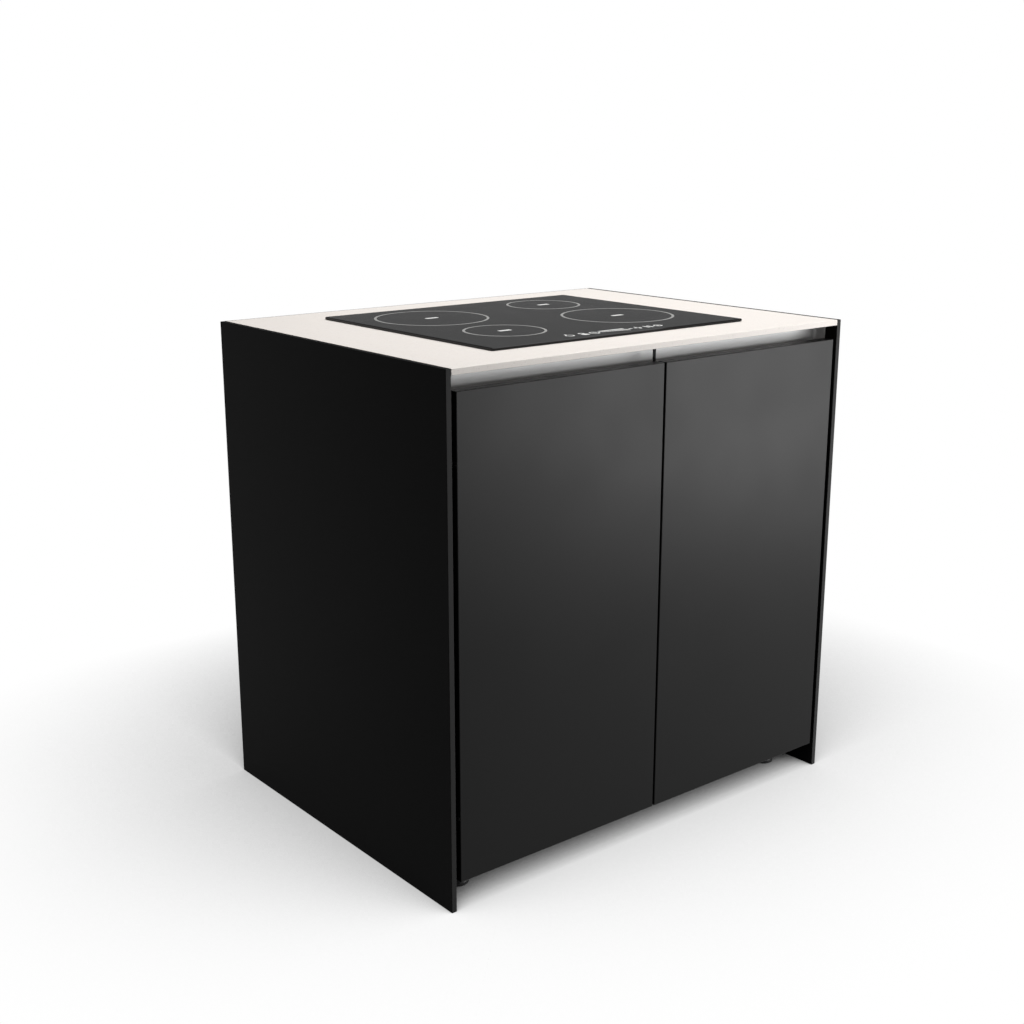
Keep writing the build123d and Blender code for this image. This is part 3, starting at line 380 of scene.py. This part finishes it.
def litz_wire():
    """Enamelled copper strands twisted into a rope: warm metal, with painted shade making short dark seams
    between strands where the bump is low.
    """
    material, tree, place = begin("enamelled_copper_litz")
    strands = add(tree, "ShaderNodeTexNoise", {"Scale": 1 / (1.0 * MM)}, {"Vector": place}).outputs[0]
    share = add(
        tree, "ShaderNodeMapRange", {"From Min": NOISE_LOW, "From Max": NOISE_HIGH}, {"Value": strands},
    )
    # Low noise gives the dark copper: painted shade in the seams between strands
    colour = add(
        tree, "ShaderNodeMix", {"data_type": "RGBA", 6: linear("#7c3f1d"), 7: linear("#c67a45")},
        {0: share.outputs[0]},
    )
    rough = add(tree, "ShaderNodeMapRange", {"To Min": 0.3, "To Max": 0.45}, {"Value": share.outputs[0]})
    bump = add(tree, "ShaderNodeBump", {"Strength": 0.7, "Distance": 0.2 * MM}, {"Height": strands})
    shader = add(
        tree, "ShaderNodeBsdfPrincipled", {"Metallic": 1.0},
        {"Base Color": colour.outputs[2], "Roughness": rough.outputs[0], "Normal": bump.outputs[0]},
    )
    add(tree, "ShaderNodeOutputMaterial", links={"Surface": shader.outputs[0]})
    return material


def sintered_ferrite():
    """Pressed and sintered ferrite: dark grey ceramic, dull, with small pits."""
    material, tree, place = begin("sintered_ferrite")
    pits = add(tree, "ShaderNodeTexNoise", {"Scale": 1 / (1.5 * MM)}, {"Vector": place}).outputs[0]
    colour = add(
        tree, "ShaderNodeMix", {"data_type": "RGBA", 6: linear("#2c2d30"), 7: linear("#3a3b3e")}, {0: pits},
    )
    rough = add(
        tree, "ShaderNodeMapRange",
        {"From Min": NOISE_LOW, "From Max": NOISE_HIGH, "To Min": 0.5, "To Max": 0.65}, {"Value": pits},
    )
    bump = add(tree, "ShaderNodeBump", {"Strength": 0.6, "Distance": 0.08 * MM}, {"Height": pits})
    shader = add(
        tree, "ShaderNodeBsdfPrincipled",
        links={"Base Color": colour.outputs[2], "Roughness": rough.outputs[0], "Normal": bump.outputs[0]},
    )
    add(tree, "ShaderNodeOutputMaterial", links={"Surface": shader.outputs[0]})
    return material


def mill_aluminium():
    """Rolled aluminium as it leaves the mill: bright grey with rolling lines along X."""
    material, tree, place = begin("mill_finish_aluminium")
    drawn = add(tree, "ShaderNodeMapping", {"Scale": (0.02, 1, 1)}, {"Vector": place})
    lines = add(
        tree, "ShaderNodeTexNoise", {"Scale": 1 / (1.2 * MM)}, {"Vector": drawn.outputs[0]},
    ).outputs[0]
    colour = add(
        tree, "ShaderNodeMix", {"data_type": "RGBA", 6: linear("#bfc0c1"), 7: linear("#d2d3d4")}, {0: lines},
    )
    rough = add(
        tree, "ShaderNodeMapRange",
        {"From Min": NOISE_LOW, "From Max": NOISE_HIGH, "To Min": 0.28, "To Max": 0.4}, {"Value": lines},
    )
    shader = add(
        tree, "ShaderNodeBsdfPrincipled", {"Metallic": 1.0},
        {"Base Color": colour.outputs[2], "Roughness": rough.outputs[0]},
    )
    add(tree, "ShaderNodeOutputMaterial", links={"Surface": shader.outputs[0]})
    return material


def circuit_board(name, board_top):
    """Green solder mask with traces 6 mm apart, and dark moulded components above it."""
    material, tree, place = begin(name)
    height = add(tree, "ShaderNodeSeparateXYZ", links={"Vector": place}).outputs["Z"]
    raised = add(
        tree, "ShaderNodeMapRange", {"From Min": board_top + 0.2 * MM, "From Max": board_top + 0.4 * MM},
        {"Value": height},
    )
    fields = add(
        tree, "ShaderNodeTexVoronoi", {"distance": "MANHATTAN", "Scale": 1 / (6 * MM)}, {"Vector": place},
    )
    trace = add(
        tree, "ShaderNodeMapRange", {"From Min": 0.3, "From Max": 0.36},
        {"Value": fields.outputs["Distance"]},
    )
    mask = add(
        tree, "ShaderNodeMix", {"data_type": "RGBA", 6: linear("#0b3d20"), 7: linear("#14592f")},
        {0: trace.outputs[0]},
    )
    colour = add(
        tree, "ShaderNodeMix", {"data_type": "RGBA", 7: linear("#222326")},
        {0: raised.outputs[0], 6: mask.outputs[2]},
    )
    shader = add(tree, "ShaderNodeBsdfPrincipled", {"Roughness": 0.35}, {"Base Color": colour.outputs[2]})
    add(tree, "ShaderNodeOutputMaterial", links={"Surface": shader.outputs[0]})
    return material


def dress(names, material):
    """Give CAD nodes a finish."""
    for name in names:
        for slot in nodes[name].material_slots:
            slot.material = material


def both(*names):
    """Names of a left and a right piece for each name."""
    return [f"{side}_{name}" for side in ("left", "right") for name in names]


black_plastic = moulded("black_glass_filled_nylon", "#1a1a1b", "#222223", 0.5)
stainless = brushed_steel()
grey_enamel = ceramic_print("grey_screen_printed_enamel", "#929290", "#a6a6a4")
white_enamel = ceramic_print("white_screen_printed_enamel", "#e0e0de", "#f0f0ee")
copper = litz_wire()

dress(both("side_panel"), compact_laminate())
dress(["worktop"], honed_stone())
dress(both("door_skin", "door_back"), lacquered_door_steel())
dress(both("door_core"), foam_board())
dress(both("finger_channel"), blasted_aluminium())
dress(
    ["back_panel", "base_pan", "front_top_rail", "rear_top_rail", "centre_divider", "foot_sockets"]
    + both("wall", "front_post", "rear_post", "shelf"),
    carcass_coat(),
)
dress(["heat_shield", "hob_casing", "hob_clamps"], galvanised())
dress(["shelf_pins", "side_panel_bolts"] + both("strike_plate", "hinge_pins"), stainless)
dress(both("hinge_brackets", "hinge_blocks"), die_cast_zinc())
dress(both("hinge_bushes"), moulded("natural_nylon", "#d9d7cf", "#e6e4dc", 0.45))
dress(both("door_bumpers"), moulded("soft_black_elastomer", "#161616", "#1c1c1c", 0.7))
dress(["hob_seal"], moulded("black_silicone", "#141414", "#191919", 0.6))
dress(
    [
        "magnet_catches", "hob_terminal_box", "cable_gland",
        "hob_coil_formers", "hob_fan_housing", "hob_fan_rotor",
    ],
    black_plastic,
)
dress([f"{row}_{side}_foot" for row in ("front", "rear") for side in ("left", "right")], black_plastic)
dress(["hob_glass"], glass_ceramic())
dress(["hob_coil_windings"], copper)
dress(["hob_coil_ferrites"], sintered_ferrite())
dress(["hob_coil_tray", "hob_heat_sink"], mill_aluminium())

BOARD_SHEET = 1.6 * MM
STANDOFF = 5 * MM
CASING_SHEET = 1 * MM
power_board_top = casing_bottom + CASING_SHEET + STANDOFF + BOARD_SHEET
dress(["hob_power_board"], circuit_board("power_board_laminate", power_board_top))
touch_board_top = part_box("hob_touch_board")[0].z + STANDOFF + BOARD_SHEET
dress(["hob_touch_board"], circuit_board("touch_board_laminate", touch_board_top))


# Modelling

def only(piece):
    """Make one object the only selected and active one."""
    bpy.ops.object.select_all(action="DESELECT")
    piece.select_set(True)
    bpy.context.view_layer.objects.active = piece


def settle(piece, name, material, body):
    """Put an object's place into its mesh, name it, and let it ride on its body."""
    only(piece)
    bpy.ops.object.transform_apply(location=True, rotation=True, scale=True)
    piece.name = name
    piece.data.name = name
    piece.data.materials.clear()
    piece.data.materials.append(material)
    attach(piece, body)


def join(pieces):
    """Join several objects into the first one."""
    bpy.ops.object.select_all(action="DESELECT")
    for piece in pieces:
        piece.select_set(True)
    bpy.context.view_layer.objects.active = pieces[0]
    bpy.ops.object.join()
    return pieces[0]


def apply_modifier(piece, kind, **settings):
    """Add one modifier with its settings and apply it."""
    modifier = piece.modifiers.new(kind.title(), kind)
    for name, value in settings.items():
        setattr(modifier, name, value)
    only(piece)
    bpy.ops.object.modifier_apply(modifier=modifier.name)


def pick_faces(piece, test):
    """Go to edit mode with only the faces that pass a test selected."""
    only(piece)
    bpy.ops.object.mode_set(mode="EDIT")
    bpy.ops.mesh.select_mode(type="FACE")
    bpy.ops.mesh.select_all(action="DESELECT")
    bpy.ops.object.mode_set(mode="OBJECT")
    for face in piece.data.polygons:
        face.select = test(face)
    bpy.ops.object.mode_set(mode="EDIT")


def object_mode():
    bpy.ops.object.mode_set(mode="OBJECT")


def copy_to(piece, matrix):
    """A copy with its own mesh, moved by a matrix."""
    twin = piece.copy()
    twin.data = piece.data.copy()
    twin.data.transform(matrix)
    bpy.context.scene.collection.objects.link(twin)
    return twin


# Print on the hob glass

PRINT_HEIGHT = 0.04 * MM
RING_LINE = 4.6 * MM
KEY_LINE = 3 * MM

# Zones as shares of the glass: centre across its width and along its depth, ring radius against its depth
ZONES = {
    "rear_left": (-0.2517, 0.2253, 0.2058),
    "front_left": (-0.2517, -0.202, 0.1413),
    "rear_right": (0.2517, 0.2869, 0.1413),
    "front_right": (0.2517, -0.1396, 0.2058),
}
MARK_LENGTH = 27 * MM
MARK_DEPTH = 10 * MM

# Touch keys, in millimetres from the middle of the glass. The signs are drawn in millimetres too
KEY_ROW = -219
KEY_POWER = -101
KEY_LOCK = -70
KEY_TIMER = -46
SLIDER_FIRST = -30
SLIDER_LAST = 28
SLIDER_TICKS = 12
TICK_INSET = 2
TICK_TOP = 2
TICK_SHORT = 5
TICK_LONG = 14
TICK_WIDTH = 2.8
KEY_MINUS = 37
KEY_PLUS = 55
KEY_PAUSE = 80
KEY_BOOST = 103
KEY_RADIUS = 7
BAR = 4
RING_STEPS = 160
KEY_RING_STEPS = 32
CLIPPED_SHARE = 0.25


def zone_place(share_x, share_y):
    """Middle of a zone on top of the glass."""
    x = glass_centre.x + share_x * glass_width
    y = glass_centre.y + share_y * glass_depth
    return Vector((x, y, glass_high.z))


def printed_ring(place, radius, line, vertices):
    """A flat ring of print: a disc, inset by the line's width and opened in the middle."""
    bpy.ops.mesh.primitive_circle_add(
        vertices=vertices, radius=radius + line / 2, fill_type="NGON", location=place,
    )
    ring = bpy.context.object
    only(ring)
    bpy.ops.object.mode_set(mode="EDIT")
    bpy.ops.mesh.select_mode(type="FACE")
    bpy.ops.mesh.select_all(action="SELECT")
    bpy.ops.mesh.inset(thickness=line)
    bpy.ops.mesh.delete(type="FACE")
    object_mode()
    apply_modifier(ring, "SOLIDIFY", thickness=PRINT_HEIGHT, offset=1.0)
    return ring


def printed_bar(place, width, depth):
    """A flat bar of print with clipped corners."""
    bpy.ops.mesh.primitive_plane_add(size=1, location=place)
    bar = bpy.context.object
    only(bar)
    bar.scale = (width, depth, 1)
    bpy.ops.object.transform_apply(location=False, rotation=False, scale=True)
    bpy.ops.object.mode_set(mode="EDIT")
    bpy.ops.mesh.select_all(action="SELECT")
    bpy.ops.mesh.bevel(offset=min(width, depth) * CLIPPED_SHARE, affect="VERTICES", segments=2)
    object_mode()
    apply_modifier(bar, "SOLIDIFY", thickness=PRINT_HEIGHT, offset=1.0)
    return bar


def key_place(x_mm, y_mm):
    """A place on the glass, measured from the row of keys."""
    return Vector((glass_centre.x + x_mm * MM, glass_centre.y + (KEY_ROW + y_mm) * MM, glass_high.z))


def key_bar(x_mm, y_mm, width_mm, depth_mm):
    return printed_bar(key_place(x_mm, y_mm), width_mm * MM, depth_mm * MM)


def key_ring(x_mm, y_mm, radius_mm):
    return printed_ring(key_place(x_mm, y_mm), radius_mm * MM, KEY_LINE, KEY_RING_STEPS)


def power_key():
    """A ring with a stroke through its top."""
    return [key_ring(KEY_POWER, 0, KEY_RADIUS), key_bar(KEY_POWER, KEY_RADIUS + 3, BAR, 10)]


def lock_key():
    """A padlock: a shackle over a solid body."""
    return [key_ring(KEY_LOCK, 7, 4.5), key_bar(KEY_LOCK, -4, 14, 12)]


def timer_key():
    """A dial with two hands."""
    dial = key_ring(KEY_TIMER, 0, KEY_RADIUS + 1.5)
    return [dial, key_bar(KEY_TIMER, 1.5, 2.5, 6), key_bar(KEY_TIMER + 1.8, 0, 5, 3)]


def slider():
    """A line over a row of ticks that grow towards full power."""
    line = key_bar((SLIDER_FIRST + SLIDER_LAST) / 2, 8, SLIDER_LAST - SLIDER_FIRST, 6)
    ticks = []
    for i in range(SLIDER_TICKS):
        share = i / (SLIDER_TICKS - 1)
        x = SLIDER_FIRST + TICK_INSET + share * (SLIDER_LAST - SLIDER_FIRST - 2 * TICK_INSET)
        depth = TICK_SHORT + share * (TICK_LONG - TICK_SHORT)
        ticks.append(key_bar(x, TICK_TOP - depth / 2, TICK_WIDTH, depth))
    return [line] + ticks


def sign_keys():
    """Minus, plus, pause and a key for full power."""
    minus = [key_bar(KEY_MINUS, 0, 10, BAR)]
    plus = [key_bar(KEY_PLUS, 0, 17, BAR + 1), key_bar(KEY_PLUS, 0, BAR, 20)]
    pause = [key_bar(KEY_PAUSE - 4.5, 0, 5, 18), key_bar(KEY_PAUSE + 4.5, 0, 5, 18)]
    boost = [key_ring(KEY_BOOST, 0, KEY_RADIUS), key_bar(KEY_BOOST, 0, 5, 6)]
    return minus + plus + pause + boost


for zone, (share_x, share_y, share_radius) in ZONES.items():
    place = zone_place(share_x, share_y)
    ring = printed_ring(place, share_radius * glass_depth, RING_LINE, RING_STEPS)
    settle(ring, f"{zone}_zone_ring", grey_enamel, "carcass")
    mark = printed_bar(place, MARK_LENGTH, MARK_DEPTH)
    settle(mark, f"{zone}_zone_mark", white_enamel, "carcass")

keys = join(power_key() + lock_key() + timer_key() + slider() + sign_keys())
settle(keys, "touch_key_marks", white_enamel, "carcass")


# Coils of litz wire

LITZ_RADIUS = 2.2 * MM
LITZ_PITCH = 4.8 * MM
COIL_HOLE = 24 * MM
COIL_INSET = 5 * MM
STEPS_PER_TURN = 48


def wound_coil(centre, outer):
    """A flat spiral of one wire from the hole out to the rim."""
    first = COIL_HOLE + LITZ_RADIUS
    turns = int((outer - LITZ_RADIUS - first) / LITZ_PITCH)
    curve = bpy.data.curves.new("wound_coil", "CURVE")
    curve.dimensions = "3D"
    curve.bevel_depth = LITZ_RADIUS
    curve.bevel_resolution = 1
    curve.use_fill_caps = True
    wire = curve.splines.new("POLY")
    count = turns * STEPS_PER_TURN + 1
    wire.points.add(count - 1)
    for i in range(count):
        turn = i / STEPS_PER_TURN
        radius = first + turn * LITZ_PITCH
        angle = 2 * math.pi * turn
        wire.points[i].co = (
            centre.x + radius * math.cos(angle), centre.y + radius * math.sin(angle), centre.z, 1,
        )
    coil = bpy.data.objects.new("wound_coil", curve)
    bpy.context.scene.collection.objects.link(coil)
    only(coil)
    bpy.ops.object.convert(target="MESH")
    return bpy.context.object


winding_low, winding_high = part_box("hob_coil_windings")
winding_level = (winding_low.z + winding_high.z) / 2
coils = []
for share_x, share_y, share_radius in ZONES.values():
    centre = zone_place(share_x, share_y)
    centre.z = winding_level
    coils.append(wound_coil(centre, share_radius * glass_depth - COIL_INSET))
coils = join(coils)
bpy.ops.object.shade_smooth()
settle(coils, "wound_litz_coils", copper, "carcass")
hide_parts("hob_coil_windings")


# Screws and bolts

# Heads: radius, height, radius of the hexagonal socket, depth of the socket
SCREW = (4 * MM, 2.2 * MM, 2.1 * MM, 1.3 * MM)
FLAT_SCREW = (3.4 * MM, 0.2 * MM, 1.6 * MM, 0.15 * MM)
BOLT = (5.5 * MM, 3 * MM, 2.6 * MM, 2 * MM)
BOLT_RADIUS = 3 * MM
BOLT_CHAMFER = 0.8 * MM
RIM_SHARE = 0.35
SMOOTH_ANGLE = math.radians(35)

# Screws sit at plus and minus a reach from the middle of their leaf, block or catch
BOTH_WAYS = (-1, 1)
LEAF_THICKNESS = 4 * MM
LEAF_HALF = 25 * MM
LEAF_SETBACK = 12 * MM
LEAF_REACH = 16 * MM
BLOCK_HALF = 22 * MM
BLOCK_INSET = 4 * MM
BLOCK_REACH = 14 * MM
CATCH_SETBACK = 10 * MM
CATCH_REACH = 9 * MM
BACK_SCREWS = 5
BACK_SIDE_INSET = 12.5 * MM
BACK_END_INSET = 30 * MM
BACK_LOW_INSET = 11 * MM
BACK_PITCH_SHARE = 0.3


def socket_head(radius, height, socket_radius, socket_depth):
    """A round head on +Z above the origin, its rim bevelled, with a hexagonal socket."""
    bpy.ops.mesh.primitive_cylinder_add(vertices=28, radius=radius, depth=height, location=(0, 0, height / 2))
    head = bpy.context.object
    only(head)
    bpy.ops.object.transform_apply(location=True)
    pick_faces(head, lambda face: face.normal.z > 0.9)
    bpy.ops.mesh.bevel(offset=height * RIM_SHARE, segments=2, affect="EDGES")
    object_mode()
    bpy.ops.mesh.primitive_cylinder_add(
        vertices=6, radius=socket_radius, depth=2 * socket_depth, location=(0, 0, height),
    )
    cutter = bpy.context.object
    apply_modifier(head, "BOOLEAN", object=cutter, operation="DIFFERENCE", solver="EXACT")
    bpy.data.objects.remove(cutter)
    only(head)
    bpy.ops.object.shade_smooth_by_angle(angle=SMOOTH_ANGLE)
    return head


def on_axis(place, axis):
    """Matrix that turns +Z to an axis and moves the origin to a place."""
    turn = Vector((0, 0, 1)).rotation_difference(Vector(axis)).to_matrix().to_4x4()
    return Matrix.Translation(place) @ turn


def set_heads(head, places, name, body):
    """Copies of a head at (place, axis) pairs, joined into one piece."""
    copies = [copy_to(head, on_axis(place, axis)) for place, axis in places]
    settle(join(copies), name, stainless, body)


screw = socket_head(*SCREW)
flat_screw = socket_head(*FLAT_SCREW)

for side, sign in (("left", -1), ("right", 1)):
    low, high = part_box(f"{side}_hinge_brackets")
    post_low, post_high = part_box(f"{side}_front_post")
    leaf_face = (post_high.x if sign < 0 else post_low.x) - sign * LEAF_THICKNESS
    places = []
    for level in (low.z + LEAF_HALF, high.z - LEAF_HALF):
        for way in BOTH_WAYS:
            spot = Vector((leaf_face, high.y - LEAF_SETBACK, level + way * LEAF_REACH))
            places.append((spot, (-sign, 0, 0)))
    set_heads(screw, places, f"{side}_hinge_screws", "carcass")

    low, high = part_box(f"{side}_hinge_blocks")
    inner_edge = high.x if sign < 0 else low.x
    door_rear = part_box(f"{side}_door_back")[1].y
    places = []
    for level in (low.z + BLOCK_HALF, high.z - BLOCK_HALF):
        for way in BOTH_WAYS:
            spot = Vector((inner_edge + sign * BLOCK_INSET, door_rear, level + way * BLOCK_REACH))
            places.append((spot, (0, 1, 0)))
    set_heads(flat_screw, places, f"{side}_hinge_block_screws", f"{side}_door")

low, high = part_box("magnet_catches")
places = []
for sign, face in ((-1, low.x), (1, high.x)):
    for way in BOTH_WAYS:
        spot = Vector((face, high.y - CATCH_SETBACK, (low.z + high.z) / 2 + way * CATCH_REACH))
        places.append((spot, (sign, 0, 0)))
set_heads(flat_screw, places, "magnet_catch_screws", "carcass")

low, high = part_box("back_panel")
places = []
for sign in BOTH_WAYS:
    for i in range(BACK_SCREWS):
        z = low.z + BACK_END_INSET + i * (high.z - low.z - 2 * BACK_END_INSET) / (BACK_SCREWS - 1)
        places.append((Vector((sign * (high.x - BACK_SIDE_INSET), high.y, z)), (0, 1, 0)))
for i in range(BACK_SCREWS):
    x = (i - BACK_SCREWS // 2) * BACK_PITCH_SHARE * high.x
    places.append((Vector((x, high.y, low.z + BACK_LOW_INSET)), (0, 1, 0)))
set_heads(flat_screw, places, "back_panel_screws", "carcass")

bolt_head = socket_head(*BOLT)


def panel_bolts():
    """Bolts of the side slabs with socket heads, on the places of the plain ones."""
    low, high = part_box("side_panel_bolts")
    post_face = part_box("right_front_post")[0].x
    edge = BOLT[0]
    pieces = []
    for sign in BOTH_WAYS:
        tip, head_base = sign * high.x, sign * post_face
        for y in (low.y + edge, high.y - edge):
            for z in (low.z + edge, high.z - edge):
                pieces.append(copy_to(bolt_head, on_axis((head_base, y, z), (-sign, 0, 0))))
                bpy.ops.mesh.primitive_cylinder_add(
                    vertices=24, radius=BOLT_RADIUS, depth=abs(tip - head_base),
                    location=((tip + head_base) / 2, y, z), rotation=(0, math.pi / 2, 0),
                )
                shank = bpy.context.object
                only(shank)
                bpy.ops.object.transform_apply(location=True, rotation=True)
                pick_faces(shank, lambda face: face.normal.x * sign > 0.9)
                bpy.ops.mesh.bevel(offset=BOLT_CHAMFER, segments=1, affect="EDGES")
                object_mode()
                pieces.append(shank)
    return join(pieces)


bolts = panel_bolts()
only(bolts)
bpy.ops.object.shade_smooth_by_angle(angle=SMOOTH_ANGLE)
settle(bolts, "socket_head_panel_bolts", stainless, "carcass")
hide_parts("side_panel_bolts")

for spare in (screw, flat_screw, bolt_head):
    bpy.data.objects.remove(spare)


# Stage

FLOOR_SIZE = 60.0

# The floor's painted shadow, drawn from ambient occlusion: the way its sky leans, how far off the set still
# shades it, and the shares of open sky that come out black and white
SHADOW_LEAN = Vector((-0.4, -0.8, 1)).normalized()
SHADE_REACH = 0.78
SHADE_BLACK = 0.3
SHADE_WHITE = 0.98

# Heights on the unit sphere where the white cove ends and the dim hall begins
COVE_TOP = math.sin(math.radians(3.5))
HALL_START = math.sin(math.radians(5.5))
AMBIENT = 0.15
HALL = 0.165

# Camera solved from the edges of the object in the photograph
EYE = (-1.66881, -2.00876, 1.22255)
EYE_AZIMUTH = math.radians(38.907)
EYE_ELEVATION = math.radians(-14.997)
LENS = 50.27


def floor_paper():
    """Paper that glows plain white, with a painted shadow from ambient occlusion leaned to the front left,
    where the set hides the open sky.
    """
    material, tree, _ = begin("white_paper_floor")
    lean = add(tree, "ShaderNodeCombineXYZ", dict(zip("XYZ", SHADOW_LEAN)))
    open_share = add(
        tree, "ShaderNodeAmbientOcclusion", {"samples": 16, "Distance": SHADE_REACH},
        {"Normal": lean.outputs[0]},
    )
    # Painted shadow: the occlusion is turned into the strength of the paper's glow
    tone = add(
        tree, "ShaderNodeMapRange", {"From Min": SHADE_BLACK, "From Max": SHADE_WHITE},
        {"Value": open_share.outputs["AO"]},
    )
    shown = add(tree, "ShaderNodeEmission", {"Color": linear("#ffffff")}, {"Strength": tone.outputs[0]})
    bounce = add(tree, "ShaderNodeBsdfDiffuse", {"Color": linear("#505050")})
    ray = add(tree, "ShaderNodeLightPath").outputs
    seen_or_mirrored = add(
        tree, "ShaderNodeMath", {"operation": "ADD"}, {0: ray["Is Camera Ray"], 1: ray["Is Glossy Ray"]},
    )
    seen = add(
        tree, "ShaderNodeMath", {"operation": "ADD", "use_clamp": True},
        {0: seen_or_mirrored.outputs[0], 1: ray["Is Transmission Ray"]},
    )
    shader = add(
        tree, "ShaderNodeMixShader", links={0: seen.outputs[0], 1: bounce.outputs[0], 2: shown.outputs[0]},
    )
    add(tree, "ShaderNodeOutputMaterial", links={"Surface": shader.outputs[0]})
    return material


def floor():
    """Sheet of paper under the set and out to the horizon."""
    bpy.ops.mesh.primitive_plane_add(size=FLOOR_SIZE, location=(0, 0, 0))
    sheet = bpy.context.object
    sheet.name = "paper_floor"
    sheet.data.materials.append(floor_paper())


def world(strength, hall):
    """White cove round the set with the dim hall above it, and a weak light from all round on the object."""
    scene_world = bpy.data.worlds.new("studio")
    bpy.context.scene.world = scene_world
    scene_world.use_nodes = True
    tree = scene_world.node_tree
    tree.nodes.clear()
    direction = add(tree, "ShaderNodeTexCoord").outputs["Generated"]
    height = add(tree, "ShaderNodeSeparateXYZ", links={"Vector": direction}).outputs["Z"]
    cove_or_hall = add(
        tree, "ShaderNodeMapRange",
        {
            "interpolation_type": "SMOOTHSTEP",
            "From Min": COVE_TOP, "From Max": HALL_START, "To Min": 1.0, "To Max": hall,
        },
        {"Value": height},
    )
    ray = add(tree, "ShaderNodeLightPath").outputs
    mirrored = add(
        tree, "ShaderNodeMath", {"operation": "ADD", "use_clamp": True},
        {0: ray["Is Glossy Ray"], 1: ray["Is Transmission Ray"]},
    )
    light = add(tree, "ShaderNodeBackground", {"Color": linear("#ffffff"), "Strength": strength})
    shown = add(
        tree, "ShaderNodeBackground", {"Color": linear("#ffffff")}, {"Strength": cove_or_hall.outputs[0]},
    )
    white = add(tree, "ShaderNodeBackground", {"Color": linear("#ffffff"), "Strength": 1.0})
    unseen = add(
        tree, "ShaderNodeMixShader",
        links={0: mirrored.outputs[0], 1: light.outputs[0], 2: shown.outputs[0]},
    )
    shader = add(
        tree, "ShaderNodeMixShader",
        links={0: ray["Is Camera Ray"], 1: unseen.outputs[0], 2: white.outputs[0]},
    )
    add(tree, "ShaderNodeOutputWorld", links={"Surface": shader.outputs[0]})


def lamp(name, place, target, width, height, radiance):
    """A softbox whose face has the given radiance, turned to a target."""
    light = bpy.data.lights.new(name, "AREA")
    light.shape = "RECTANGLE"
    light.size = width
    light.size_y = height
    light.energy = radiance * width * height * math.pi
    light_object = bpy.data.objects.new(name, light)
    bpy.context.scene.collection.objects.link(light_object)
    light_object.location = place
    light_object.rotation_euler = (Vector(target) - Vector(place)).to_track_quat("-Z", "Y").to_euler()
    light_object.visible_camera = False


def camera():
    """Camera with the photograph's place, direction and lens."""
    data = bpy.data.cameras.new("photo_camera")
    data.sensor_width = 36.0
    data.lens = LENS
    data.clip_start = 0.05
    data.clip_end = 100.0
    eye = bpy.data.objects.new("photo_camera", data)
    bpy.context.scene.collection.objects.link(eye)
    level = math.cos(EYE_ELEVATION)
    forward = Vector((
        math.sin(EYE_AZIMUTH) * level, math.cos(EYE_AZIMUTH) * level, math.sin(EYE_ELEVATION),
    ))
    eye.location = EYE
    eye.rotation_euler = forward.to_track_quat("-Z", "Y").to_euler()
    bpy.context.scene.camera = eye


floor()
world(AMBIENT, HALL)
lamp("overhead_softbox", (0.5, -0.1, 2.6), (0.5, -0.1, 0.8), 2.6, 2.6, 2.6)
lamp("front_softbox", (1.25, -1.6, 0.585), (0, -0.345, 0.585), 1.2, 0.87, 8.2)
camera()

bpy.context.scene.view_settings.view_transform = "Standard"
